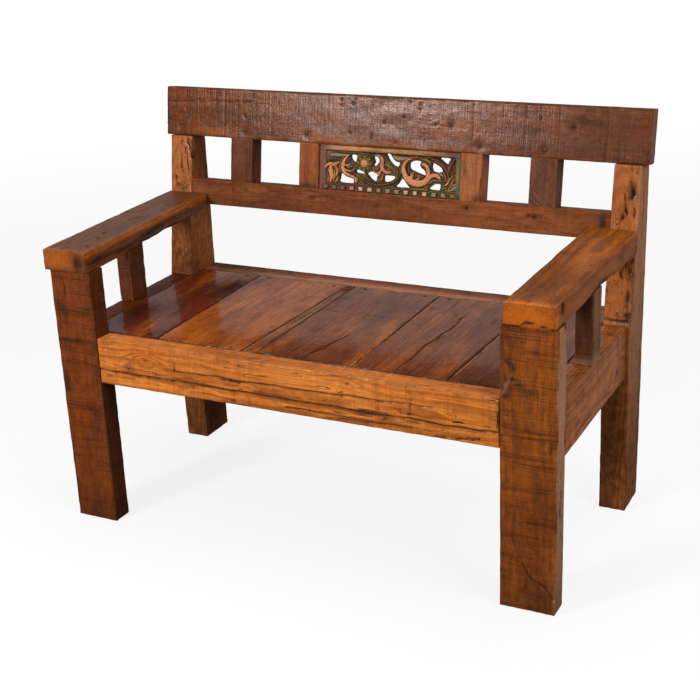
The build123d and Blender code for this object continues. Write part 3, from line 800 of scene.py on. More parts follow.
@dataclass(frozen=True)
class TimberFinish:
    """Colours, figure and varnish of one timber. Colours are linear."""

    light: Colour
    dark: Colour
    stained: Colour = (0.018, 0.008, 0.004)
    bright: Colour = (0.42, 0.12, 0.02)
    worn: Colour = (0.38, 0.12, 0.028)
    # Colour of the pale stains: crud and wear, and painted sheen on some side faces.
    dusty: Colour = (0.34, 0.26, 0.19)
    heart: Span = (0.01, 0.085)
    ring_width: float = 0.0065
    rings: float = 0.55
    wander: float = 0.035
    fibres: float = 0.45
    clouds: float = 0.5
    saw: float = 0.25
    saw_spacing: float = 0.0045
    saw_slant: float = 0.0
    hairs: float = 0.5
    grime: float = 0.35
    wear: float = 0.5
    pits: float = 0.3
    mottle: float = 0.4
    flame: float = 0.0
    joint: float = 0.4
    roughness: float = 0.45
    specular: float = 0.16
    varnish: float = 0.2
    varnish_roughness: float = 0.16
    relief: float = 0.0006

    def material(self, name: str, axes: Array, centre: Array, seed: int) -> Material:
        """The timber's own material, its grain turned to run along the timber.

        Args:
            name: the piece's name.
            axes: unit vectors along, across and deep.
            centre: the timber's middle, in metres.
            seed: shifts the figure, so that no two timbers are alike.
        """
        material, graph, shader = new_material(name)
        turn = graph.add("Mapping")
        start = Vector((FIGURE_STEP * seed, *self.heart)) - Vector(axes @ centre)
        graph.feeds(turn.inputs, {"Vector": graph.place(), "Rotation": Matrix(axes.tolist()).to_euler(),
                                  "Location": start})
        place = turn.outputs[0]
        figure = graph.group(GROUPS.figure, Place=place, Shift=graph.mask("figure"),
                             Ring_width=self.ring_width, Wander=self.wander)
        saw = graph.group(GROUPS.saw, Place=place, Spacing=self.saw_spacing, Slant=self.saw_slant)
        weather = graph.group(GROUPS.weather, Place=place, Edge=graph.mask("edge"))
        graph.feed(shader["Base Color"], self.colour(graph, figure, saw, weather))
        self.varnished(graph, shader, figure, saw, weather)
        return material

    def colour(self, graph: Graph, figure: Outputs, saw: Outputs, weather: Outputs) -> Socket:
        """Rings and fibres first, then clouds, saw marks, patches, worn edges and cracks over them."""
        times, spread, mask = graph.times, graph.spread, graph.mask
        fibres, clouds = figure["Fibres"], figure["Clouds"]
        grime, mottle = weather["Grime"], weather["Mottle"]
        deep = tuple(0.45 * part for part in self.dark)
        broken = graph.more(fibres, 0.7, graph.math("SUBTRACT", mask("stain"), 0.35))
        stain = times(spread(broken, 0.05, 0.75), spread(mask("stain"), 0, 0.25))
        joint = times(graph.math("POWER", mask("edge"), 4), self.joint)
        joint = graph.math("MULTIPLY", joint, graph.more(mottle, 0.6, 0.5), clamp=True)
        grain = graph.most(times(figure["Rings"], self.rings), times(spread(fibres, 0.38, 0.66), self.fibres))
        black = graph.most(times(weather["Hairs"], self.hairs), times(weather["Pits"], self.pits))
        layers = (
            (grain, self.dark),
            (times(spread(clouds, 0.42, 0.68), self.clouds), self.dark),
            (times(spread(clouds, 0.48, 0.34), self.flame), self.bright),
            (times(mottle, self.mottle), deep),
            (times(times(saw["Lines"], saw["Bands"]), self.saw), deep),
            (times(mask("glow"), spread(fibres, 0.9, 0.35)), self.bright),
            (graph.most(times(grime, self.grime), stain), self.stained),
            (times(weather["Worn"], self.wear), self.worn),
            (times(mask("end"), 0.35), deep),
            (joint, self.stained),
            # Pale stains: crud, and painted sheen where a pale veil lies over a whole side face.
            (times(mask("dust"), spread(grime, 0.9, 0.1)), self.dusty),
            # Near-black last: pits, hairlines and holes, and the crack mask with its painted shade in cracks
            # and on shaded faces.
            (graph.most(black, mask("crack")), SOOT_AND_SHADE))
        return reduce(lambda under, layer: graph.mix(layer[0], under, layer[1]), layers, self.light)

    def varnished(self, graph: Graph, shader: Inputs, figure: Outputs, saw: Outputs,
                  weather: Outputs) -> None:
        """Roughness, varnish and the small relief of the grain, saw marks and cracks."""
        dust, crack = graph.mask("dust"), graph.mask("crack")
        fibres, grime = figure["Fibres"], weather["Grime"]
        rough = graph.more(grime, 0.15, graph.more(fibres, 0.22, self.roughness - 0.11))
        rough = graph.math("MULTIPLY_ADD", crack, 0.6, graph.more(dust, 0.4, rough), clamp=True)
        bare = graph.most(graph.times(graph.most(dust, crack), 2.5), graph.times(grime, 0.4))
        height = graph.times(fibres, 0.5)
        for relief, depth in ((figure["Rings"], 0.15), (saw["Lines"], 1.6 * self.saw),
                              (weather["Pits"], 2.5 * self.pits), (weather["Hairs"], 2 * self.hairs)):
            height = graph.more(relief, -depth, height)
        graph.feeds(shader, {
            "Roughness": rough, "Coat Roughness": self.varnish_roughness, "Specular IOR Level": self.specular,
            "Coat Weight": graph.times(graph.math("SUBTRACT", 1, bare, clamp=True), self.varnish),
            "Normal": graph.bump(height, self.relief)})


DARK_TIMBER = TimberFinish(
    light=(0.24, 0.06, 0.009), dark=(0.08, 0.017, 0.003), ring_width=0.0075, rings=0.5, saw=0.5, wear=0.3,
    varnish=0.1, varnish_roughness=0.25, relief=0.0004)
BROWN_TIMBER = TimberFinish(
    light=(0.36, 0.092, 0.01), dark=(0.1, 0.019, 0.002), rings=0.6, saw=0.5, grime=0.3, wear=0.25,
    relief=0.0004)
ORANGE_TIMBER = TimberFinish(
    light=(0.7, 0.215, 0.034), dark=(0.3, 0.07, 0.006), rings=0.7, fibres=0.55, saw_spacing=0.0038, grime=0.3,
    wear=0.2, worn=(0.56, 0.22, 0.06), relief=0.0003, mottle=0.35, hairs=1)
RED_TIMBER = TimberFinish(
    light=(0.3, 0.068, 0.004), dark=(0.07, 0.009, 0.0006), bright=(0.46, 0.12, 0.008), fibres=0.5,
    saw_spacing=0.006, clouds=0.7, wear=0.1, dusty=(0.48, 0.21, 0.08), flame=0.5, joint=0.85, roughness=0.42,
    specular=0.12, varnish=0.55, varnish_roughness=0.11, relief=0.0002)


# Marks of each timber, in shares along, across and deep, with sizes in millimetres

LEG_MARKS = {
    "left": (*stains(DARK, (0.73, 0.35, 0, 9, 70, 60, 0.5), (0.85, 0.2, 0, 26, 22, 40, 0.5),
        (0.42, 0.75, 0, 60, 16, 40, 0.4), (0.57, 0.1, 0, 40, 14, 40, 0.5), (0.27, 0.55, 0, 8, 20, 40, 0.3)),
        # Black bells: the leg darker towards its foot, and painted shade all along the inner side face, which
        # lies in the shadow of the seat.
        *stains(BLACK, (0, 0.5, 0.5, 50, 90, 90, 0.4), (0.5, 1, 0.5, 500, 4, 70, 0.55)), Split(((0.97, 0.3),
        (0.9, 0.34)), 1.6, 1)),
    "right": (*stains(DARK, (0.85, 0.17, 0, 22, 14, 40, 0.16), (0.95, 0.3, 0, 9, 34, 40, 0.3),
        (0.33, 0.6, 0, 12, 50, 40, 0.25), (0.79, 0.35, 0, 7, 60, 40, 0.45)), *stains(BLACK,
        (0.878, 0.126, 0, 7, 7, 40, 0.85), (0.859, 0.23, 0, 6, 8, 40, 0.85),
        (0.806, 0.32, 0, 5, 10, 40, 0.85), (0.822, 0.22, 0, 3, 12, 40, 0.85), (0.761, 0.1, 0, 5, 8, 40, 0.85),
        (0.818, 0.1, 0, 8, 3, 40, 0.85), (0.793, 0.05, 0, 7, 3, 40, 0.85), (0.4, 0.85, 0, 60, 24, 40, 0.2),
        # The long pale bell over the whole outer side face is painted sheen; the small pale spots are crud.
        (0, 0.5, 0.5, 70, 90, 90, 0.45)), *stains(PALE, (0.6, 1, 0.5, 500, 2.2, 60, 0.7),
        (0.35, 1, 0, 3.5, 3, 5, 1), (0.057, 0.99, 0, 4, 3, 5, 1)), *stains(BRIGHT,
        (0.69, 0.139, 0, 5, 5, 20, 0.8), (0.62, 0.139, 0, 5, 5, 20, 0.8)), Streak(((0.835, 0.19, 0),
        (0.8, 0.12, 0), (0.773, 0.055, 0)), 3, 0.35, PALE), Split(((0.84, 0.24), (0.8, 0.165), (0.773, 0.1)),
        1.6, 0.8, 0.7), Split(((0.735, 0.18), (0.715, 0.24), (0.69, 0.25)), 1.8, 0.8, 0.6),
        Split(((0.36, 0.17), (0.32, 0.18), (0.27, 0.22), (0.22, 0.31), (0.13, 0.54), (0.107, 0.79),
        (0.06, 0.97)), 2, 1.2, 0.7, 0.6), *dents((0.378, 0.2, 3.2, 2, 1))),
}

# A streak of the front rail: its start in two shares, its length and its fall
RAIL_STREAKS = (
    (0.33, 0.52, 0.1, -0.02), (0.42, 0.36, 0.12, 0.02), (0.5, 0.15, 0.09, 0), (0.56, 0.4, 0.1, 0.03),
    (0.62, 0.2, 0.12, 0), (0.7, 0.47, 0.08, 0), (0.74, 0.24, 0.1, -0.03), (0.78, 0.4, 0.14, 0),
    (0.83, 0.14, 0.12, 0), (0.86, 0.24, 0.12, 0.02), (0.6, 0.07, 0.1, 0.02), (0.2, 0.38, 0.1, 0.02),
    (0.02, 0.2, 0.08, 0), (0.25, 0.12, 0.12, -0.02), (0.9, 0.4, 0.08, 0), (0.68, 0.34, 0.07, 0))
FRONT_RAIL_MARKS = (
    Knot((0.133, 0.68), 8, 16, 0.3), Knot((0.655, 0.83), 6, 9, 0.5), Knot((0.36, 0.5), 5, 5, 0.4),
    *stains(DARK, (0.998, 0.6, 0, 4, 26, 20, 0.9), (0.9, 0.12, 0, 30, 3, 12, 0.3),
    (0.96, 1, 0.6, 30, 20, 16, 0.3), (0.8, 0.55, 0, 5, 26, 12, 0.3), (0.7, 0.3, 0, 60, 5, 12, 0.4),
    (0.5, 0.08, 0, 120, 7, 12, 0.3), (0.02, 0.2, 0, 14, 26, 20, 0.14), (0.92, 0.62, 0, 28, 8, 12, 0.2)),
    # The black line along the back of the top is painted shade in the joint with the seat boards.
    *stains(BRIGHT, (0.55, 0.75, 0, 190, 24, 12, 0.6)), *stains(BLACK, (0.3, 1, 1, 700, 3.5, 3.5, 0.75)),
    Split(((0.213, 0.74), (0.211, 0.55)), 1.6, 0.6, 0.9), Split(((0.806, 0.745), (0.797, 0.38)), 1.2, 0.4,
    0.5), Split(((0.9, 0.68), (0.905, 0.5), (0.9, 0.38)), 1.2, 0.4, 0.6), Split(((0.345, 0.53), (0.37, 0.51),
    (0.39, 0.5)), 1.8, 1), Split(((0.86, 0.03), (0.91, 0.07), (0.954, 0.11)), 2.2, 2),
    *dents((0.725, 0.41, 3.2, 1.5), (0.874, 0.2, 4, 1.5), (0.64, 0.55, 3, 1.2)),
    *(Streak(((s, t, 0), (s + 0.5 * length, t + 0.02, 0), (s + length, t + fall, 0)), 2.3, 0.45)
      for s, t, length, fall in RAIL_STREAKS),
    Wane((1, 0), 10, 9, 0.972, 1.2, 0.4))
FRONT_RAIL_CRACKS = (
    Crack((0.5, 0.15), (0.82, 0.12), 1, 2.5, 1), Crack((-0.25, 0.335), (1.25, 0.295), 1.7, 4.5, 1.8),
    Crack((0.17, 0.54), (0.86, 0.6), 1.2, 3.5, 1.8))
SIDE_RAIL_MARKS = (Knot((0.849, 0.33), 9, 12, 0.8), *stains(DARK, (0.3, 0.2, 0, 60, 16, 20, 0.4)))
REAR_RAIL_MARKS = (
    *stains(BLACK, (0.5, 1, 0.1, 900, 24, 26, 0.5), (0.05, 1, 0.5, 90, 24, 90, 0.45)), *stains(BRIGHT,
    (0.5, 1, 0.85, 900, 24, 12, 0.7)))

BOARD_FRONT = (0, 0.5, 0, 22, 90, 20, 0.35)
BOARD_MARKS = {
    0: stains(BLACK, (0.75, 0.85, 0, 80, 40, 9, 0.5), (0.3, 0.3, 0, 60, 40, 9, 0.3)),
    1: stains(BRIGHT, (0.1, 0.35, 0, 80, 60, 20, 0.5), (0.35, 0.7, 0, 70, 30, 20, 0.3)),
    2: (*stains(BLACK, (0.95, 0.5, 0, 34, 16, 9, 0.65)), *stains(DARK, (0.5, 0.4, 0, 40, 7, 9, 0.4),
        (0.75, 0.7, 0, 60, 4, 9, 0.3)), Split(((0.35, 0.4), (0.6, 0.55), (0.8, 0.5)), 1.2, 0.5, 0.6)),
    3: (*stains(BLACK, BOARD_FRONT), *stains(PALE, (0.1, 1, 0, 70, 3.2, 9, 0.9)), *stains(DARK,
        (0.16, 0.5, 0, 24, 40, 9, 0.2)), Split(((0.62, 0.05), (0.615, 0.5), (0.63, 0.95)), 1, 0.3, 0.5, 1)),
    4: (*stains(BLACK, BOARD_FRONT), *stains(PALE, (0.02, 0, 0, 70, 3.2, 9, 0.9)), *stains(DARK,
        (0.08, 0.3, 0, 16, 40, 9, 0.2))),
    5: (*stains(BLACK, BOARD_FRONT, (0.03, 0.85, 0, 40, 50, 9, 0.55)), *stains(PALE,
        (0.1, 0, 0, 110, 3.2, 9, 0.9)), *stains(DARK, (0.08, 0.6, 0, 20, 60, 9, 0.3))),
}
BOARD_CRACKS = {
    3: (Crack((0, 0.47), (0.36, 0.63), 1, 3, 3),),
    4: (Crack((0, 0.44), (0.78, 0.49), 1, 3, 5),),
}

ARM_HOLES = (
    (0.11, 0.27), (0.09, 0.78), (0.21, 0.64), (0.285, 0.55), (0.46, 0.08), (0.56, 0.06), (0.605, 0.1))
ARM_STREAK = (
    (0.02, 0.6), (0.1, 0.6), (0.2, 0.66), (0.33, 0.65), (0.5, 0.5), (0.6, 0.42), (0.75, 0.42), (0.95, 0.55))
ARM_MARKS = {
    "left": (Wane((1, 1), 22, 15, 0.3, 1.2, 0.6), *dents(*((*hole, 4.8, 1.2, 1) for hole in ARM_HOLES)),
        Streak(tuple((s, 1, deep) for s, deep in ARM_STREAK), 7, 0.4), *stains(DARK,
        (0.52, 1, 0.5, 55, 12, 13, 0.35), (0.3, 1, 0.75, 40, 12, 8, 0.3), (0.08, 1, 0.5, 30, 12, 9, 0.3),
        (0, 0.8, 0.5, 8, 14, 20, 0.7)), *stains(BRIGHT, (0, 0.3, 0.4, 12, 60, 30, 0.62),
        # The bright strip along the top of the inner side face is a painted highlight.
        (0.5, 1, 0.12, 280, 10, 6, 0.5)), Split(((0.5, 0.47), (0.54, 0.6), (0.587, 0.73)), 2.4, 0.8, 0.7)),
    "right": (Wane((0, 1), 6, 8, 0.34, 0.72, 1), Streak(((0.077, 0, 0.16), (0.077, 0, 0.44)), 6, 1.3, BLACK),
        Streak(((0, 0.98, 0.95), (0, 0.68, 0.93), (0, 0.52, 0.73), (0, 0.06, 0.92)), 1.3, 1.2, BLACK),
        Dent((0.077, 0, 0.22), 4.5, 3, 1), Dent((0.077, 0, 0.4), 4.5, 3, 1),
        *dents((0.551, 0.136, 3.8, 1.5, 1), (0.498, 0.18, 3.8, 1, 1)), Split(((0.62, 0.95), (0.63, 0.82),
        (0.645, 0.72), (0.635, 0.55)), 2.2, 0.8, 0.8), Split(((0.66, 0.72), (0.7, 0.66), (0.76, 0.64)), 1.8,
        0.6, 0.7), Split(((0.03, 0.85), (0.045, 0.7), (0.035, 0.5)), 1.6, 0.5, 0.6), Split(((0.08, 0.65),
        (0.11, 0.6)), 2.2, 0.6, 0.6), Wane((1, 0), 3.5, 7, 0.1, 1.1, 0.7), *stains(DARK,
        (0.52, 0, 0.9, 60, 12, 12, 0.9)), *stains(BRIGHT, (0, 0.5, 0.5, 14, 90, 40, 1))),
}
BALUSTER_MARKS = {
    "left": (),
    "right": (*stains(BLACK, (0.85, 0, 0.5, 120, 6, 60, 0.62)), *stains(DARK, (0.2, 0, 0.5, 70, 5, 60, 0.2)),
        # The pale patch over the middle of the outer face is painted sheen; the one at the foot is debris.
        *stains(PALE, (0.03, 0.3, 0.5, 10, 40, 30, 0.7), (0.6, 0.6, 0, 200, 40, 4, 0.3))),
}

POST_MARKS = {
    "left": (*stains(BLACK, (0.1, 0.5, 0.5, 260, 90, 90, 0.82), (0.55, 0.5, 0, 150, 70, 90, 0.52),
        (0.93, 1, 0.5, 80, 4, 80, 0.45)), *stains(BRIGHT, (0.9, 0.5, 0, 70, 40, 10, 0.5)), *stains(DARK,
        (0.847, 0.5, 0, 7, 30, 9, 0.3)), Split(((0.992, 0.8), (0.975, 0.84), (0.955, 0.93), (0.935, 0.97)),
        2.8, 1.6), Split(((0.965, 0.66), (0.94, 0.74), (0.91, 0.8), (0.88, 0.84)), 1.5, 1),
        Split(((0.945, 0.48), (0.925, 0.52), (0.9, 0.5)), 1.8, 1.2), Split(((0.9, 0.3), (0.885, 0.36)), 1.4,
        0.8), Split(((0.875, 0.25), (0.855, 0.3), (0.85, 0.5)), 1.8, 1), Split(((0.87, 0.68), (0.85, 0.62)),
        1.8, 1), Split(((0.85, 0.8), (0.84, 0.7)), 2.5, 1.5)),
    "right": (*stains(BLACK, (0.1, 0.3, 0.5, 260, 52, 90, 0.88)), *stains(BRIGHT,
        (0.9, 0.5, 0, 70, 40, 10, 0.5), (0.66, 0.5, 0.5, 110, 60, 90, 0.7)), *stains(PALE,
        # The long pale bell over the outer side face is painted sheen; the small one is crud at the joint.
        (0.8, 1, 0.5, 500, 6, 90, 0.28), (0.574, 0.5, 0, 3, 40, 20, 0.4)), *stains(DARK,
        (0.93, 0.72, 0, 24, 12, 9, 0.6), (0.65, 0.84, 0, 22, 7, 12, 0.7), (0.583, 0.6, 0, 4, 30, 20, 0.8),
        (0.6, 0.9, 0, 9, 9, 9, 0.9)), *dents((0.98, 0.85, 4, 1.5)), Split(((1, 0.6), (0.985, 0.62)), 3, 2),
        Split(((0.955, 0.66), (0.93, 0.75), (0.915, 0.7)), 5, 2), Split(((0.925, 0.45), (0.9, 0.5),
        (0.87, 0.56)), 2.4, 2), Split(((0.88, 0.34), (0.86, 0.42), (0.845, 0.36)), 5, 2),
        Split(((0.885, 0.85), (0.86, 0.84)), 2.6, 2), Split(((0.755, 0.9), (0.735, 0.86), (0.712, 0.8)), 2.4,
        2.5), Split(((0.715, 0.5), (0.7, 0.56)), 2.6, 1.5), Split(((0.603, 0.5), (0.585, 0.52)), 2.6, 2)),
}

CREST_HOLES = (
    (0.399, 0.9, 3), (0.399, 0.79, 2.6), (0.424, 0.82, 3), (0.43, 0.93, 2.4), (0.543, 0.91, 2.8),
    (0.564, 0.87, 3.2), (0.564, 0.79, 2.6), (0.531, 0.62, 3), (0.491, 0.49, 3.2), (0.419, 0.26, 2.6),
    (0.597, 0.51, 3), (0.184, 0.47, 3.2), (0.515, 0.11, 2.6), (0.046, 0.56, 2.6), (0.8, 0.74, 3))
CREST_GOUGES = (
    (0.626, 0.52, 11, 0.8), (0.86, 0.6, 9, 0.8), (0.186, 0.16, 10, 1), (0.325, 0.17, 9, 1.2),
    (0.685, 0.16, 10, 1.2), (0.809, 0.16, 9, 1.2), (0.033, 0.18, 5, 0.8))
CREST_MARKS = (
    *dents(*((*hole, 1.4) for hole in CREST_HOLES), *((*gouge, 0.7) for gouge in CREST_GOUGES)),
    *(SawStep(s) for s in (0.138, 0.247, 0.671, 0.772, 0.835, 0.923)),
    Split(((0.002, 0.692), (0.1, 0.73), (0.206, 0.769)), 1.6, 0.8, 0.8, 0.8),
    Split(((0.465, 0.26), (0.465, 0.18)), 1.8, 0.8), *stains(DARK,
    (0.985, 0.3, 0, 14, 40, 9, 0.16), (0, 0.5, 0, 9, 60, 30, 0.6)), *stains(BRIGHT,
    (0.43, 0.05, 0, 200, 11, 14, 0.32), (0.12, 0.12, 0, 70, 12, 14, 0.45), (0.962, 0.15, 0, 5, 3.5, 9, 1),
    (1, 0.55, 0.3, 4, 70, 22, 0.9)), *stains(BLACK, (0.92, 0.5, 0, 140, 90, 9, 0.35),
    (0.5, 1, 0.6, 900, 3, 90, 0.5)), Wane((0, 1), 9, 12, 0.97, 1.2, 0.5))
LOWER_RAIL_MARKS = (
    Knot((0.316, 0.646), 5, 5, 0.6), Knot((0.84, 0.6), 8, 6, 0.5), *dents((0.112, 0.68, 3.5),
    (0.147, 0.72, 3.5), (0.69, 0.73, 4), (0.826, 0.63, 4.5), (0.854, 0.67, 4)), *stains(DARK,
    (0.985, 0.5, 0, 12, 40, 30, 0.6)), *stains(BRIGHT, (0.8, 0.5, 0, 200, 60, 20, 0.25)), *stains(BLACK,
    (0.08, 0.5, 0, 180, 60, 20, 0.12), (0.69, 0.74, 0, 12, 5, 9, 0.75), (0.84, 0.66, 0, 16, 5, 9, 0.6)))
BLOCK_MARKS = {
    0: stains(DARK, (0.5, 1, 0, 200, 20, 40, 0.4)),
    1: stains(DARK, (0.03, 0.5, 0, 12, 50, 30, 0.6)),
    2: (*stains(BLACK, (0.06, 0.85, 0, 9, 16, 30, 0.6)), Wane((1, 0), 5, 7, -0.1, 0.5, 0.4)),
}


# Sub-assemblies

SIDES = (("left", -1), ("right", 1))
COARSE = 4.5  # cell of the plainer timbers


def corners(x: Span, y: Span, z: float) -> List[List[Place]]:
    """A level cross-section: across is the span of x, deep is the span of y."""
    return [[(x[0], deep, z), (x[1], deep, z)] for deep in y]


@dataclass
class FrontLegs:
    """The two broad front legs, from the floor to the underside of the arms."""

    datum: Datum
    width_left: float = 105.0
    width_right: float = 115.0

    def spans(self) -> Dict[str, Span]:
        """Left and right edges of each leg."""
        half = self.datum.half_frame
        return {"left": (-half, self.width_left - half), "right": (half - self.width_right, half)}

    def build(self) -> None:
        """Makes both legs, their saw marks across the grain."""
        depths = (0, self.datum.leg_depth)
        finishes = {
            "left": replace(BROWN_TIMBER, light=(0.215, 0.048, 0.006), saw=0.6, rings=0.4, fibres=0.4,
                            specular=0.12, wear=0.2),
            "right": replace(BROWN_TIMBER, light=(0.35, 0.09, 0.008), saw=0.65, dusty=(0.4, 0.23, 0.14),
                             rings=0.4, fibres=0.35)}
        for number, (side, span) in enumerate(self.spans().items()):
            top = [[(x, deep, self.datum.arm_bottom(deep)) for x in span] for deep in depths]
            Timber("front_leg_timber_" + side, "front_leg_" + side, "brown_timber",
                   [corners(span, depths, 0), top], finishes[side], 3 + number,
                   LEG_MARKS[side]).build(self.datum)


@dataclass
class SeatFrame:
    """The rails round the seat."""

    datum: Datum
    legs: FrontLegs
    front_height: float = 104.0
    front_thickness: float = 48.0
    face_inset: float = 0.4
    end_gap: float = 0.2
    side_height: float = 122.0
    rear_thickness: float = 60.0
    lean_share: float = 12.0 / 448.0

    def front_rail(self) -> None:
        """The pale front rail, with the knot figure and the long cracks of the photograph."""
        spans = self.legs.spans()
        ends = (spans["left"][1] + self.end_gap, spans["right"][0] - self.end_gap)
        heights = (self.datum.seat - self.front_height, self.datum.seat)
        depths = (self.face_inset, self.front_thickness)
        stations = [[[(x, y, z) for z in heights] for y in depths] for x in ends]
        finish = replace(ORANGE_TIMBER, light=(0.8, 0.25, 0.041), bright=(0.9, 0.3, 0.055), saw=0.32)
        Timber("front_rail_timber", "front_rail", "orange_timber", stations, finish, 5, FRONT_RAIL_MARKS,
               FRONT_RAIL_CRACKS).build(self.datum)

    def side_rails(self) -> None:
        """The deep side rails, sawn rough outside."""
        datum = self.datum
        low, high = datum.seat - self.side_height, datum.seat
        back_low = datum.knee + self.side_height * self.lean_share
        finishes = (
            # The left rail is given a far darker colour than the right: painted shade under the left arm.
            replace(BROWN_TIMBER, light=(0.16, 0.04, 0.008), specular=0.08, varnish=0.05, saw=0.6, wear=0.1,
                    joint=0.3),
            replace(BROWN_TIMBER, light=(0.58, 0.18, 0.044), dark=(0.2, 0.05, 0.01), saw=0.8))
        for number, (side, sign) in enumerate(SIDES):
            faces = (sign * datum.half_frame, sign * datum.post_inner)
            front = [[(x, datum.leg_depth, z) for z in (low, high)] for x in faces]
            back = [[(x, back_low, low), (x, datum.knee, high)] for x in faces]
            Timber("side_rail_timber_" + side, "side_rail_" + side, "brown_timber", [front, back],
                   finishes[number], 7 + number, SIDE_RAIL_MARKS, cell=COARSE).build(datum)

    def rear_rail(self) -> None:
        """The rear rail, whose flush top shows behind the boards."""
        datum = self.datum
        heights = (datum.seat - self.front_height, datum.seat)
        depths = (datum.frame_depth, datum.frame_depth - self.rear_thickness)
        ends = (-datum.post_inner, datum.post_inner)
        stations = [[[(x, y, z) for z in heights] for y in depths] for x in ends]
        finish = replace(BROWN_TIMBER, light=(0.46, 0.15, 0.06), dark=(0.22, 0.06, 0.02),
                         bright=(0.56, 0.22, 0.09))
        Timber("rear_rail_timber", "rear_rail", "brown_timber", stations, finish, 9,
               REAR_RAIL_MARKS, cell=COARSE).build(datum)

    def build(self) -> None:
        """Makes the four rails."""
        self.front_rail()
        self.side_rails()
        self.rear_rail()


@dataclass
class SeatBoards:
    """Five boards and a tapered strip, from the front rail to the rear rail, under a deep varnish."""

    datum: Datum
    rear_thickness: float = 60.0
    thickness: float = 24.0
    gap: float = 1.6
    end_gap: float = 0.6
    front_shares: Shares = (-1, -0.66, -0.256, -0.188, 0.24, 0.634, 1)
    back_shares: Shares = (-1, -0.68, -0.219, -0.18, 0.232, 0.656, 1)
    tints: Tuple[Colour, ...] = (
        (0.8, 0.45, 0.4), (1.65, 1.75, 1.8), (1.1, 1.3, 2), (0.95,) * 3, (0.95,) * 3, (0.85,) * 3)
    strip: int = 2
    nail_inset: float = 30.0
    nail_end: float = 12.7

    def nail_places(self, place: int, stations: Sequence[List[List[Place]]]) -> Tuple[Mark, ...]:
        """Dents round the nail heads near both ends of a board."""
        length = stations[1][0][0][1] - stations[0][0][0][1]
        found: Tuple[Mark, ...] = ()
        for end, station in enumerate(stations):
            inset = self.nail_inset / (station[0][1][0] - station[0][0][0])
            shares = (0.5,) if place == self.strip else (inset, 1 - inset)
            found += dents(*((abs(end - self.nail_end / length), t, 5.4, 1.2, 1) for t in shares))
        return found

    def build(self) -> None:
        """Makes the boards from left to right."""
        datum = self.datum
        gap = self.end_gap / 2
        ends = (datum.leg_depth + gap, datum.frame_depth - self.rear_thickness - gap)
        number = 1
        for place, tint in enumerate(self.tints):
            name = "seat_filler_strip" if place == self.strip else f"seat_board_{number}"
            number += 0 if place == self.strip else 1
            stations = []
            for y, shares in zip(ends, (self.front_shares, self.back_shares)):
                low = shares[place] * datum.post_inner + self.gap / 2
                high = shares[place + 1] * datum.post_inner - self.gap / 2
                heights = (datum.seat, datum.seat - self.thickness)
                stations.append([[(low, y, z), (high, y, z)] for z in heights])
            light, dark = (tuple(np.multiply(tint, colour)) for colour in (RED_TIMBER.light, RED_TIMBER.dark))
            finish = replace(RED_TIMBER, light=light, dark=dark, clouds=0.7 if place < self.strip else 0.55)
            marks = BOARD_MARKS[place] + self.nail_places(place, stations)
            Timber(name.replace("seat_", "seat_timber_"), name, "red_timber", stations, finish, 20 + place,
                   marks, BOARD_CRACKS.get(place, ()), radius=2).build(datum)


@dataclass
class Arms:
    """The two flat arms and the short upright under each."""

    datum: Datum
    thickness: float = 47.0
    outset_left: float = 7.0
    outset_right: float = -5.0
    outset_back: float = 11.0
    front_widths: Span = (112, 102)
    back_widths: Span = (107, 114)
    baluster_width: float = 36.0
    baluster_depth: float = 60.0
    baluster_places: Span = (270, 242)

    def arm_end(self, height: float) -> Span:
        """Depth and height where a line that rises with the arm meets the leaning back."""
        datum = self.datum
        lean = math.tan(datum.rake)
        y = (datum.knee + (height - datum.seat) * lean) / (1 - datum.arm_slope * lean)
        return y, height + datum.arm_slope * y

    def arm(self, number: int, sign: float, side: str) -> None:
        """One arm, its show face on top and its outer side at no share across."""
        datum = self.datum
        outset = (self.outset_left, self.outset_right)[number]
        front = -datum.arm_overhang
        outer = (datum.half_frame + outset, datum.half_frame + self.outset_back)
        inner = (outer[0] - self.front_widths[number], outer[1] - self.back_widths[number])
        levels = [((front, datum.arm_bottom(front) + up), self.arm_end(datum.arm_underside + up))
                  for up in (self.thickness, 0)]
        stations = [[[(sign * x, *level[end]) for x in (outer[end], inner[end])] for level in levels]
                    for end in (0, 1)]
        finish = replace(BROWN_TIMBER, light=((0.165, 0.052, 0.01), (0.4, 0.105, 0.008))[number],
                         dark=(0.1, 0.024, 0.005), saw=0.15, clouds=0.6, bright=(0.86, 0.2, 0.008),
                         varnish=(0.2, 0.08)[number], varnish_roughness=0.18, mottle=0.25)
        Timber("arm_timber_" + side, "arm_" + side, "brown_timber", stations, finish, 30 + number,
               ARM_MARKS[side], cell=3.4, radius=3, wear=1.2).build(datum)

    def baluster(self, number: int, sign: float, side: str) -> None:
        """One upright, its show face towards the outside of the bench."""
        datum = self.datum
        place = self.baluster_places[number]
        depths = (place - self.baluster_depth / 2, place + self.baluster_depth / 2)
        faces = (sign * datum.half_frame, sign * (datum.half_frame - self.baluster_width))
        foot = [[(x, y, datum.seat) for y in depths] for x in faces]
        head = [[(x, y, datum.arm_bottom(y)) for y in depths] for x in faces]
        light = ((0.13, 0.035, 0.01), (0.2, 0.055, 0.01))[number]
        Timber("arm_baluster_timber_" + side, "arm_baluster_" + side, "dark_timber", [foot, head],
               replace(DARK_TIMBER, light=light, dusty=(0.36, 0.2, 0.11)), 34 + number, BALUSTER_MARKS[side],
               cell=COARSE, radius=1.6).build(datum)

    def build(self) -> None:
        """Makes both arms and both uprights."""
        for number, (side, sign) in enumerate(SIDES):
            self.arm(number, sign, side)
            self.baluster(number, sign, side)


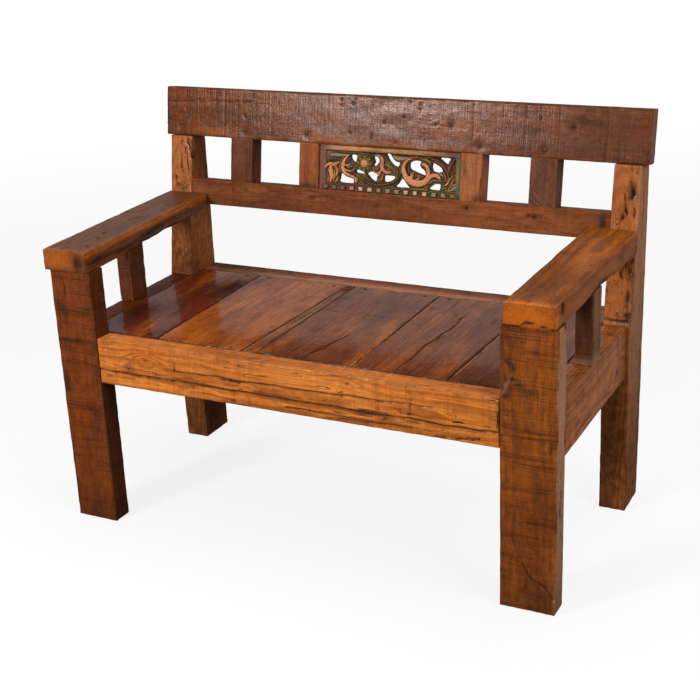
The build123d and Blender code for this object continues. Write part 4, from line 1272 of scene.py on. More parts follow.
@dataclass
class BackFrame:
    """The bent posts, the crest rail, the lower rail and the four blocks between them."""

    datum: Datum
    post_depth_floor: float = 102.0
    crest_length: float = 1192.0
    rail_height: float = 60.0
    block_widths: Shares = (58, 51, 50, 61)
    block_shares: Shares = (-0.734, -0.385, 0.389, 0.706)
    tuck: float = 2.0

    def block_span(self, place: int) -> Span:
        """Left and right edges of a block."""
        centre = self.block_shares[place] * self.datum.post_inner
        return centre - self.block_widths[place] / 2, centre + self.block_widths[place] / 2

    def raked_bar(self, half: float, low: float, high: float) -> List[List[List[Place]]]:
        """Stations of a bar that runs across the leaning back."""
        datum = self.datum
        return [[[datum.raked(x, deep, up) for up in (low, high)] for deep in (0, datum.stock)]
                for x in (-half, half)]

    def posts(self) -> None:
        """The posts, which bend at the seat; the show face is the front."""
        datum = self.datum
        back = datum.frame_depth
        _, front, height = datum.raked(0, 0, datum.crest_bottom)
        back_top = height - (back - front) * math.tan(datum.rake)
        knee_share = datum.seat / height
        finish = replace(ORANGE_TIMBER, light=(0.5, 0.146, 0.026), dark=(0.2, 0.05, 0.007), saw=0.3)
        for number, (side, sign) in enumerate(SIDES):
            span = tuple(sorted((sign * datum.post_inner, sign * datum.post_outer)))
            foot = corners(span, (back - self.post_depth_floor, back), 0)
            knee = [[(x, datum.knee, datum.seat) for x in span],
                    [(x, back, back_top * knee_share) for x in span]]
            top = [[(x, front, height) for x in span], [(x, back, back_top) for x in span]]
            Timber("back_post_timber_" + side, "back_post_" + side, "orange_timber", [foot, knee, top],
                   finish, 40 + number, POST_MARKS[side], stops=(0, knee_share, 1), cell=2.8,
                   radius=1.6).build(datum)

    def rails(self) -> None:
        """The heavy crest rail and the lower rail."""
        datum = self.datum
        crest = replace(DARK_TIMBER, roughness=0.24, varnish=0, relief=0.00012, pits=0.6, saw=0.65, wear=0.12,
                        mottle=0.42)
        Timber("crest_rail_timber", "crest_rail", "dark_timber",
               self.raked_bar(self.crest_length / 2, datum.crest_bottom, datum.crest_top), crest, 50,
               CREST_MARKS, cell=2.8, wobble=0.9, wear=1.3).build(datum)
        lower = replace(BROWN_TIMBER, light=(0.25, 0.072, 0.018), saw=0.4, varnish=0, specular=0.1,
                        roughness=0.5)
        Timber("lower_back_rail_timber", "lower_back_rail", "brown_timber",
               self.raked_bar(datum.post_inner, datum.rail_top - self.rail_height, datum.rail_top), lower, 52,
               LOWER_RAIL_MARKS, cell=3.4, radius=1.2, wear=0.4).build(datum)

    def blocks(self) -> None:
        """The four short blocks, each of another timber."""
        datum = self.datum
        finishes = (
            replace(DARK_TIMBER, light=(0.16, 0.045, 0.015), saw=0.3),
            replace(ORANGE_TIMBER, light=(0.34, 0.085, 0.012), dark=(0.18, 0.04, 0.006)),
            replace(ORANGE_TIMBER, light=(0.4, 0.135, 0.047), dark=(0.27, 0.085, 0.025)),
            replace(DARK_TIMBER, light=(0.19, 0.07, 0.035), dark=(0.1, 0.034, 0.016), saw=0.6, saw_slant=0.8))
        for place, finish in enumerate(finishes):
            span = self.block_span(place)
            stations = [[[datum.raked(x, deep, up) for x in span] for deep in (0, datum.stock)]
                        for up in (datum.rail_top - self.tuck, datum.crest_bottom + self.tuck)]
            Timber(f"back_block_timber_{place + 1}", f"back_block_{place + 1}",
                   "orange_timber" if place in (1, 2) else "dark_timber", stations,
                   replace(finish, varnish=0, specular=0.1), 60 + place, BLOCK_MARKS.get(place, ()),
                   radius=1.4, wear=0.5).build(datum)

    def build(self) -> None:
        """Makes the whole back, apart from the carved panel."""
        self.posts()
        self.rails()
        self.blocks()


# The carved panel

def outline_distance(points: Array, outline: Array) -> Tuple[Array, Array]:
    """Distance of each place from a closed outline, negative inside, and the nearest place on it.

    A place is inside where a ray from it to the right crosses the outline an odd number of times.
    """
    start, span = outline, np.roll(outline, -1, axis=0) - outline
    away = points[:, None] - start
    share = np.clip((away * span).sum(axis=2) / (span ** 2).sum(axis=1), 0, 1)
    near = start + share[..., None] * span
    gap = np.linalg.norm(points[:, None] - near, axis=2)
    best = gap.argmin(axis=1)
    rows = np.arange(len(points))
    rise = np.where(np.abs(span[:, 1]) < 1e-9, 1e-9, span[:, 1])
    across = start[:, 0] + (points[:, 1:2] - start[:, 1]) / rise * span[:, 0]
    passes = (start[:, 1] <= points[:, 1:2]) != (start[:, 1] + span[:, 1] <= points[:, 1:2])
    inside = (passes & (points[:, :1] < across)).sum(axis=1) % 2 == 1
    return np.where(inside, -gap[rows, best], gap[rows, best]), near[rows, best]


class Paint(Enum):
    """Colours of the old paint, linear."""

    PEACH = (0.6, 0.24, 0.1)
    TERRACOTTA = (0.52, 0.17, 0.07)
    PINK = (0.44, 0.17, 0.11)
    OLIVE = (0.17, 0.12, 0.012)
    GREEN = (0.26, 0.2, 0.03)
    MOSS = (0.06, 0.042, 0.004)
    MAROON = (0.11, 0.026, 0.014)
    SAGE = (0.25, 0.19, 0.11)
    STRAW = (0.44, 0.19, 0.05)
    PLUM = (0.17, 0.065, 0.045)
    CREAM = (0.6, 0.37, 0.22)
    TEAL = (0.12, 0.105, 0.04)
    BARE = (0.16, 0.05, 0.012)


PEACH, TERRACOTTA, PINK, OLIVE, GREEN, MOSS, MAROON, SAGE, STRAW, PLUM, CREAM, TEAL, BARE = Paint


@dataclass(frozen=True)
class Stroke:
    """A carved ridge; its points hold two shares of the panel and a half-width in millimetres."""

    paint: Paint
    points: Tuple[Shares, ...]
    top: float = 4.6
    groove: float = 0.0

    def heights(self, plane: Array, size: Array) -> Array:
        """Height over the ground, from the nearest place of the centre line in units of its width.

        The section is a superellipse, (1 - q^2.6)^(1 / 2.6), with a shallow groove along its middle
        where the leaf is hollow, and it sinks a little towards the thin ends.
        """
        rows = np.array(self.points) * (*size, 1)
        curve = smooth_curve(rows, False) if len(rows) > 1 else rows
        widths = np.maximum(curve[:, 2], 0.5)
        q = np.linalg.norm(plane[:, None] - curve[:, :2], axis=2) / widths
        best = q.argmin(axis=1)
        least = np.minimum(q[np.arange(len(plane)), best], 1)
        full = np.clip(widths[best] / 2.6, 0.45, 1)
        hollow = self.groove * np.exp(-(least / 0.35) ** 2)
        return np.where(least < 1, self.top * full * (1 - least ** 2.6) ** (1 / 2.6) - hollow, 0)


# The panel's tables are in thousandths of its width and height
WHOLE = 1000

# Outlines of the openings
OPENINGS = (
    ((215, 790), (250, 810), (269, 790), (264, 700), (262, 630), (240, 645), (222, 690)),
    ((378, 790), (413, 800), (429, 740), (426, 670), (404, 595), (378, 600), (388, 680)),
    ((470, 880), (503, 885), (523, 800), (548, 725), (574, 700), (560, 605), (525, 625), (497, 710),
     (478, 800)),
    ((635, 700), (655, 750), (690, 775), (722, 760), (716, 700), (724, 630), (748, 570), (757, 500),
     (752, 450), (725, 470), (680, 520), (640, 580)),
    ((792, 735), (810, 745), (850, 690), (873, 610), (868, 570), (815, 545), (792, 600)),
    ((845, 865), (920, 870), (914, 800), (903, 720), (885, 745), (862, 800)),
    ((143, 360), (168, 375), (200, 310), (245, 270), (250, 190), (235, 165), (140, 170), (138, 260)),
    ((252, 450), (280, 490), (322, 435), (318, 400), (262, 405)),
    ((335, 410), (360, 455), (385, 460), (424, 410), (418, 330), (407, 245), (375, 270), (350, 340)),
    ((462, 390), (500, 405), (543, 390), (536, 330), (510, 280), (475, 250), (458, 270)),
    ((578, 330), (604, 350), (625, 260), (648, 175), (640, 160), (545, 160), (560, 240)),
    ((778, 165), (790, 230), (815, 285), (845, 300), (862, 285), (860, 190), (850, 155)),
)

# Ridges: paint, height, groove and the points of the centre line, each with its half-width in millimetres
STROKE_ROWS = (
    (SAGE, 3, 0, (65, 770, 1.5), (110, 785, 4.5), (160, 785, 4), (215, 800, 2)),
    (OLIVE, 3.4, 0, (120, 855, 1.5), (200, 860, 2.3), (300, 860, 2.3), (370, 845, 1.2)),
    (SAGE, 3.2, 0, (525, 850, 2), (555, 800, 5), (600, 800, 4.5), (640, 830, 1.5)),
    (MOSS, 3.6, 0, (30, 450, 1.2), (42, 550, 2), (70, 640, 2.2), (110, 690, 2.6), (150, 690, 2)),
    (OLIVE, 3.6, 0, (150, 420, 2.2), (150, 520, 3), (153, 620, 3.2), (170, 730, 2)),
    (PEACH, 4.4, 0.6, (37, 450, 1.2), (50, 530, 3.2), (80, 585, 3.4), (100, 585, 1.5)),
    (TERRACOTTA, 4.8, 0.8, (85, 580, 1.5), (108, 565, 5), (138, 620, 2.5)),
    (PEACH, 5, 1, (83, 530, 3), (82, 430, 6), (90, 300, 5), (82, 170, 2)),
    (TERRACOTTA, 4.6, 0.6, (118, 520, 2), (132, 430, 3.8), (125, 310, 2)),
    (STRAW, 4.2, 0.6, (108, 460, 1.2), (112, 330, 3.2), (104, 170, 1.6)),
    (STRAW, 3.8, 0.6, (140, 320, 1.2), (130, 230, 3), (115, 150, 1.4)),
    (STRAW, 3.6, 0.5, (70, 290, 1), (64, 210, 2.6), (64, 150, 1.4)),
    (PEACH, 5.6, 0.5, (213, 810, 1.4), (188, 710, 3.4), (174, 610, 4.6), (172, 490, 5), (185, 410, 4.4),
     (217, 350, 3.2), (250, 315, 3), (272, 265, 3.9), (272, 215, 3.4)),
    (MAROON, 4, 0, (235, 790, 1.5), (214, 720, 3), (208, 650, 3), (220, 610, 1.6)),
    (PEACH, 5, 0, (183, 580, 2.4), (206, 565, 2.4), (224, 605, 1.4)),
    (OLIVE, 3.4, 0, (200, 520, 1.5), (220, 530, 2.6), (243, 560, 1.5)),
    (PEACH, 5.2, 0, (188, 475, 2.4), (210, 445, 2.2), (235, 450, 2.2), (253, 505, 1.2)),
    (MAROON, 3.6, 0, (376, 840, 2), (384, 770, 3), (380, 680, 2.6), (370, 600, 1.4)),
    (PINK, 5.2, 0.8, (393, 830, 1.4), (422, 835, 2.6), (446, 780, 4), (455, 700, 4.4)),
    (TERRACOTTA, 5.4, 0.6, (455, 710, 4.2), (450, 620, 5.2), (460, 530, 4.2), (484, 470, 3.6),
     (512, 480, 3.6)),
    (OLIVE, 3.4, 0.6, (395, 580, 2), (415, 530, 3.6), (430, 550, 2)),
    (PEACH, 5, 0, (386, 540, 1.2), (400, 465, 2.2), (420, 440, 2.5), (440, 475, 2.6), (452, 540, 2.2)),
    (PEACH, 4.4, 0, (445, 440, 2), (425, 385, 2.4), (408, 310, 1.2)),
    (STRAW, 3.6, 0.6, (462, 440, 1.5), (458, 360, 3), (438, 260, 1.5)),
    (OLIVE, 3.8, 0.6, (487, 650, 1.5), (505, 600, 3.8), (530, 555, 1.8)),
    (MOSS, 3.2, 0, (345, 400, 1.8), (370, 310, 2.4), (405, 225, 1.8)),
    (MOSS, 4.2, 0, (300, 370, 2.4), (318, 290, 3.4), (360, 205, 3), (420, 180, 2.6), (480, 205, 2.6),
     (540, 275, 3.2), (572, 380, 3.2), (580, 500, 3.2), (570, 600, 2)),
    (STRAW, 5, 0, (318, 325, 0.8), (353, 210, 1.1), (408, 155, 1), (470, 165, 0.9), (523, 240, 1.2),
     (552, 340, 1.5), (562, 470, 1.5), (567, 600, 1)),
    (TEAL, 3.4, 0, (590, 680, 1.8), (588, 550, 3), (592, 420, 1.6)),
    (MAROON, 3.6, 0, (710, 810, 1.5), (675, 800, 3.2), (645, 720, 4.4), (638, 610, 4.6), (645, 520, 4),
     (663, 470, 2.5)),
    (PEACH, 6, 0.5, (665, 830, 1), (635, 780, 2.6), (617, 720, 3.8), (607, 640, 4.6), (606, 550, 5.4),
     (616, 450, 6.2), (636, 360, 7.2), (668, 295, 8), (705, 275, 8.2), (742, 300, 7.4), (770, 370, 6.4),
     (793, 445, 5.4), (820, 485, 4.8), (843, 470, 4.8), (857, 415, 3)),
    (PEACH, 5.8, 0.4, (750, 330, 5.6), (772, 420, 5), (779, 530, 4.6), (770, 640, 4.4), (752, 700, 4.4),
     (735, 700, 3.2)),
    (OLIVE, 3.6, 0.5, (733, 810, 2), (763, 800, 4.2), (790, 730, 3.6)),
    (PLUM, 3.6, 0.5, (790, 740, 3), (806, 650, 4.6), (808, 550, 3)),
    (PEACH, 5.4, 0, (660, 400, 4.6), (667, 450, 3.8), (672, 495, 2.2)),
    (CREAM, 5.2, 0, (695, 360, 1.6), (714, 400, 1.8), (712, 460, 1)),
    (MAROON, 3.8, 0, (735, 390, 1.5), (740, 440, 2.2), (735, 490, 1.4)),
    (PLUM, 3.2, 0.5, (782, 290, 2.6), (800, 345, 4), (830, 375, 4), (862, 360, 2.6)),
    (SAGE, 3.2, 0.5, (820, 565, 1.5), (850, 545, 3.2), (875, 480, 2.4)),
    (MAROON, 4.2, 0.6, (730, 870, 1.5), (790, 850, 3.4), (840, 780, 4.8), (880, 680, 5), (905, 570, 4.4),
     (915, 460, 3.2), (910, 370, 2)),
    (PEACH, 5.2, 0, (575, 770, 0.9), (610, 805, 1.2), (650, 840, 1.3), (690, 850, 1.1), (730, 835, 1),
     (780, 795, 1), (820, 745, 1.2), (858, 655, 1.4), (885, 530, 1.5), (898, 420, 1.4), (903, 350, 1)),
    (PEACH, 5.2, 0, (957, 510, 1), (932, 455, 1.8), (918, 370, 2.1), (905, 300, 2.3), (870, 250, 1.2)),
    (MAROON, 4.4, 0, (920, 580, 2.2), (928, 720, 4), (950, 850, 3.2)),
    (TERRACOTTA, 5, 0, (914, 560, 1), (915, 670, 1.8), (926, 770, 1.6), (945, 860, 0.9)),
    (OLIVE, 3.4, 0.6, (930, 280, 2.4), (945, 380, 3.8), (957, 460, 2)),
    (SAGE, 3.6, 0.8, (935, 185, 3), (953, 225, 4.4), (968, 275, 2.6)),
    (PINK, 4.8, 0, (945, 130, 1.2), (920, 170, 1.5), (927, 245, 1.5), (957, 310, 1.6), (982, 320, 1.2),
     (982, 240, 1.3), (965, 160, 1.2), (945, 130, 1.2)),
    (OLIVE, 3.4, 0.6, (862, 190, 1.5), (885, 215, 3.2), (910, 235, 1.5)),
    (OLIVE, 3, 0, (640, 155, 1.5), (690, 150, 3.2), (750, 155, 3), (780, 150, 1.5)),
)
STROKES = tuple(
    Stroke(paint, tuple((across / WHOLE, up / WHOLE, half) for across, up, half in points), top, groove)
    for paint, top, groove, *points in STROKE_ROWS)

# Soft areas of another paint on the ground: paint, place and size
PATCHES = (
    (SAGE, 150, 810, 80, 100), (OLIVE, 310, 760, 80, 140), (TERRACOTTA, 88, 470, 30, 170),
    (GREEN, 750, 150, 50, 50), (TEAL, 45, 380, 30, 120), (PLUM, 20, 680, 40, 200), (OLIVE, 305, 340, 40, 120),
    (MAROON, 160, 120, 120, 60), (MAROON, 250, 430, 20, 70), (GREEN, 500, 580, 30, 120),
    (GREEN, 415, 550, 20, 60), (OLIVE, 450, 320, 20, 100), (SAGE, 580, 820, 50, 70),
    (OLIVE, 595, 480, 25, 160), (OLIVE, 710, 160, 80, 50), (OLIVE, 760, 800, 30, 60),
    (PLUM, 800, 620, 25, 120), (OLIVE, 700, 440, 30, 50), (PLUM, 860, 500, 30, 60), (PLUM, 820, 330, 30, 60),
    (MAROON, 860, 720, 50, 140), (MAROON, 940, 740, 30, 140), (OLIVE, 890, 200, 30, 60),
    (TEAL, 950, 400, 20, 100), (MAROON, 470, 820, 20, 60), (TEAL, 970, 100, 30, 100))

# Paint of the border at places from left to right, by the share of the height
BORDER_STOPS = (0.03, 0.1, 0.32, 0.75, 0.962, 0.976, 0.989)
BORDER_PAINTS = {
    0.25: (PLUM, MAROON, MAROON, MAROON, MOSS, TEAL, TEAL),
    0.45: (PLUM, MAROON, MAROON, MAROON, MOSS, STRAW, TEAL),
    0.87: (PLUM, SAGE, MOSS, MOSS, MAROON, TEAL, TEAL),
    0.93: (PLUM, PEACH, PEACH, STRAW, PLUM, PLUM, TEAL),
    0.985: (PLUM, SAGE, OLIVE, SAGE, MAROON, PLUM, TEAL)}
DENTIL_PAINTS = (*(PLUM,) * 3, PINK, *(CREAM,) * 2, *(SAGE,) * 3, *(CREAM,) * 3, SAGE, SAGE, OLIVE)


@dataclass
class CarvedPanel:
    """The pierced, carved and painted panel between the middle blocks.

    Its front is a height over a plane grid: the ground, a flat border, ridges along smooth centre
    lines, a flower and a row of small blocks. Grid cells inside the openings are left out, the grid
    points round them are moved onto the outlines, and walls join them to the flat back.
    """

    datum: Datum
    back: BackFrame
    thickness: float = 22.0
    setback: float = 2.0
    side_gap: float = 0.6
    ground: float = 7.0
    cell: float = 1.15
    border_sides: Shares = (0.045, 0.958)
    border_head: float = 0.885
    dentil_first: float = 0.047
    dentil_pitch: float = 0.0645
    dentil_count: int = 15
    dentil_span: Shares = (0.012, 0.102)
    flower_place: Shares = (0.325, 0.635)
    heart_radius: float = 9.8
    petal_rings: Tuple[Shares, ...] = ((11, 4.6), (15, 4.8), (19.5, 1.2))
    petal_count: int = 8
    blur_steps: int = 6

    def span(self) -> Span:
        """Left and right edges of the panel."""
        return self.back.block_span(1)[1] + self.side_gap, self.back.block_span(2)[0] - self.side_gap

    def size(self) -> Array:
        """Width and height of the panel."""
        low, high = self.span()
        return np.array([high - low, self.datum.opening_height])

    def carve(self, plane: Array) -> Tuple[Array, Array]:
        """Height over the ground and paint at each place of the front."""
        size = self.size()
        shares = plane / size
        heights = 0.5 * value_noise(plane, 5, 90)
        paint = np.tile(MOSS.value, (len(plane), 1))
        for tone, *numbers in PATCHES:
            place, reach = np.reshape(numbers, (2, 2)) / WHOLE
            bell = np.exp(-(((shares - place) / reach) ** 2).sum(axis=1))[:, None]
            paint += (np.array(tone.value) - paint) * np.minimum(1.3 * bell, 1)
        petals = [
            Stroke(OLIVE, tuple((self.flower_place[0] + ring * math.cos(angle) / size[0],
                                 self.flower_place[1] + ring * math.sin(angle) / size[1], width)
                                for ring, width in self.petal_rings), 4.2, 1.4)
            for angle in math.pi * (0.5 + 2 * np.arange(self.petal_count) / self.petal_count)]
        heart = Stroke(PEACH, ((*self.flower_place, self.heart_radius),), 6.4)
        for stroke in (*petals, heart, *STROKES):
            raised = stroke.heights(plane, size)
            higher = raised > np.maximum(heights, 0.35 * stroke.top)
            heights = np.where(higher, raised, heights)
            flank = STRAW if stroke.top > 4.7 else MOSS
            low = 0.6 * np.clip(2.2 - 2.4 * raised[higher, None] / stroke.top, 0, 1)
            paint[higher] = np.array(stroke.paint.value) * (1 - low) + np.array(flank.value) * low
        self.frame_work(shares, heights, paint)
        return heights, paint

    def frame_work(self, shares: Array, heights: Array, paint: Array) -> None:
        """Puts the border and the row of small blocks over the carving, in place."""
        size = self.size()
        inside = np.stack([shares[:, 0] - self.border_sides[0], self.border_sides[1] - shares[:, 0],
                           self.border_head - shares[:, 1]], axis=1)
        depth = (inside * size[[0, 0, 1]]).min(axis=1)
        lift = np.clip(0.5 - depth / 3, 0, 1)
        middle = np.clip(np.minimum(shares[:, 0], 1 - shares[:, 0]) * 9, 0.4, 1)
        lift = lift * lift * (3 - 2 * lift) * (self.ground - 0.6) * middle
        border = lift > heights
        sway = shares[:, 1] + 0.03 * (value_noise(shares * size * (0.1, 1), 3, 93) - 0.5)
        along = np.zeros_like(paint)
        for row, one in zip(BORDER_PAINTS.values(), np.eye(len(BORDER_PAINTS))):
            tones = np.array([tone.value for tone in row]).T
            level = np.stack([np.interp(shares[:, 0], BORDER_STOPS, part) for part in tones], axis=1)
            along += level * np.interp(sway, tuple(BORDER_PAINTS), one)[:, None]
        heights[border] = lift[border]
        paint[border] = along[border]
        number = (shares[:, 0] - self.dentil_first) / self.dentil_pitch + 0.5
        beside = (0.23 - np.abs(number % 1 - 0.5)) * self.dentil_pitch * size[0]
        level = np.minimum(shares[:, 1] - self.dentil_span[0], self.dentil_span[1] - shares[:, 1]) * size[1]
        block = np.clip(np.minimum(beside, level) / 1.4 + 0.5, 0, 1)
        block *= (number > 0) & (number < self.dentil_count)
        raised = 4.6 * block * block * (3 - 2 * block)
        tooth = raised > np.maximum(heights, 1.5)
        gap = (level > -1.5) & (number > 0) & ~tooth
        paint[gap] += (np.where(shares[gap, :1] < 0.3, MAROON.value, MOSS.value) - paint[gap]) * 0.8
        places = np.clip(number[tooth], 0, self.dentil_count - 1).astype(int)
        heights[tooth] = raised[tooth]
        paint[tooth] = np.array([tone.value for tone in DENTIL_PAINTS])[places]

    def lattice(self) -> Tuple[Array, Array]:
        """Grid places on the plane, moved onto the outlines where they border an opening, and cells."""
        size = self.size()
        counts = np.ceil(size / self.cell).astype(int) + 1
        across, up = (np.linspace(0, size[a], counts[a]) for a in (0, 1))
        plane = np.stack(np.meshgrid(across, up, indexing="ij"), axis=2).reshape(-1, 2)
        distance, nearest = np.full(len(plane), 5.0), plane.copy()
        for points in OPENINGS:
            outline = smooth_curve(np.array(points) / WHOLE * size, True)
            box = ((plane > outline.min(axis=0) - 3) & (plane < outline.max(axis=0) + 3)).all(axis=1)
            gap, near = outline_distance(plane[box], outline)
            closer = gap < distance[box]
            rows = np.flatnonzero(box)[closer]
            distance[rows], nearest[rows] = gap[closer], near[closer]
        index = np.arange(len(plane)).reshape(counts)
        ring = (index[:-1, :-1], index[1:, :-1], index[1:, 1:], index[:-1, 1:])
        cells = np.stack(ring, axis=2).reshape(-1, 4)
        solid = distance[cells].mean(axis=1) > 0
        rim = np.intersect1d(cells[solid], cells[~solid])
        plane[rim] = nearest[rim]
        return plane, cells[solid]

    def blurred(self, heights: Array) -> Array:
        """Heights averaged over a few cells, on the full grid, to tell hollows from ridges."""
        level = heights.reshape(np.ceil(self.size() / self.cell).astype(int) + 1)
        for _ in range(self.blur_steps):
            wide = np.pad(level, 1, mode="edge")
            level = (level + wide[:-2, 1:-1] + wide[2:, 1:-1] + wide[1:-1, :-2] + wide[1:-1, 2:]) / 5
        return level.ravel()

    def build(self) -> None:
        """Makes the panel: front, flat back and the walls between them."""
        plane, front = self.lattice()
        heights, paint = self.carve(plane)
        hollow = np.clip((self.blurred(heights) - heights) / 1.6, -1, 1)
        deep = self.setback + self.ground - heights
        back_face = self.setback + self.thickness
        count = len(plane)
        edges = np.concatenate([np.stack([front[:, a], front[:, (a + 1) % 4]], axis=1) for a in range(4)])
        code, turned = edges[:, 0] * count + edges[:, 1], edges[:, 1] * count + edges[:, 0]
        rim = edges[~np.isin(code, turned)]
        layers = [deep, deep + 0.3 * (back_face - deep), np.full(count, back_face)]
        low = self.span()[0]
        up = self.datum.rail_top + plane[:, 1]
        places = [np.stack(self.datum.raked(low + plane[:, 0], layer, up), axis=1) for layer in layers]
        start, end = rim.T
        wall = np.stack([end, start, start + count, end + count], axis=1)
        faces = np.concatenate([front, wall, wall + count, front[:, ::-1] + 2 * count])
        used, faces = np.unique(faces, return_inverse=True)
        side = np.repeat([0, 0.75, 1], count)[used]
        masks = {"paint": np.concatenate([paint] * 3)[used], "hollow": np.tile(hollow, 3)[used], "side": side}
        piece = make_object("carved_panel_painted", np.concatenate(places)[used], faces.reshape(-1, 4),
                            self.datum.middle, masks)
        piece.data.materials.append(self.material())
        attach(piece, BODY)
        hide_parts("carved_panel")
        LOG.info("%s: %d faces", piece.name, len(piece.data.polygons))

    def material(self) -> Material:
        """Old paint: dirt in the hollows, bare wood and pale chalk where it has worn off the ridges."""
        material, graph, shader = new_material("carved_paint")
        more, spread, place, hollow = graph.more, graph.spread, graph.place(), graph.mask("hollow")
        blotch = graph.noise(place, (90, 90, 160), 4, 0.65)
        grain = graph.noise(place, (30, 300, 420), 3, 0.6)
        flake = graph.noise(place, (260,) * 3, 4, 0.7)
        faded = graph.noise(place, (340,) * 3, 3, 0.6)
        wood = graph.mix(spread(grain, 0.4, 0.65), (0.24, 0.1, 0.022), (0.06, 0.028, 0.008))
        colour = graph.mask("paint", "Color")
        for share, over, blend in (
                (spread(grain, 0.45, 0.7, 0, 0.35), (0.5, 0.5, 0.5), "MULTIPLY"),
                (spread(faded, 0.45, 0.7, 0, 0.7), (0.4, 0.36, 0.4), "MULTIPLY"),
                (spread(faded, 0.46, 0.3, 0, 0.15), (0.5, 0.34, 0.16), "MIX"),
                (spread(more(hollow, -0.6, flake), 0.84, 1.05, 0, 0.4), (0.62, 0.42, 0.28), "MIX"),
                (spread(more(hollow, -0.35, blotch), 0.72, 0.84, 0, 0.7), BARE.value, "MIX"),
                (spread(more(blotch, 0.9, hollow), 0.42, 0.95, 0, 0.92), (0.022, 0.014, 0.005), "MIX"),
                (graph.mask("side"), wood, "MIX")):
            colour = graph.mix(share, colour, over, blend)
        graph.feeds(shader, {
            "Base Color": colour, "Roughness": spread(flake, 0.3, 0.7, 0.42, 0.7), "Specular IOR Level": 0.2,
            "Normal": graph.bump(graph.math("ADD", flake, grain), 0.0006)})
        return material


# The studio

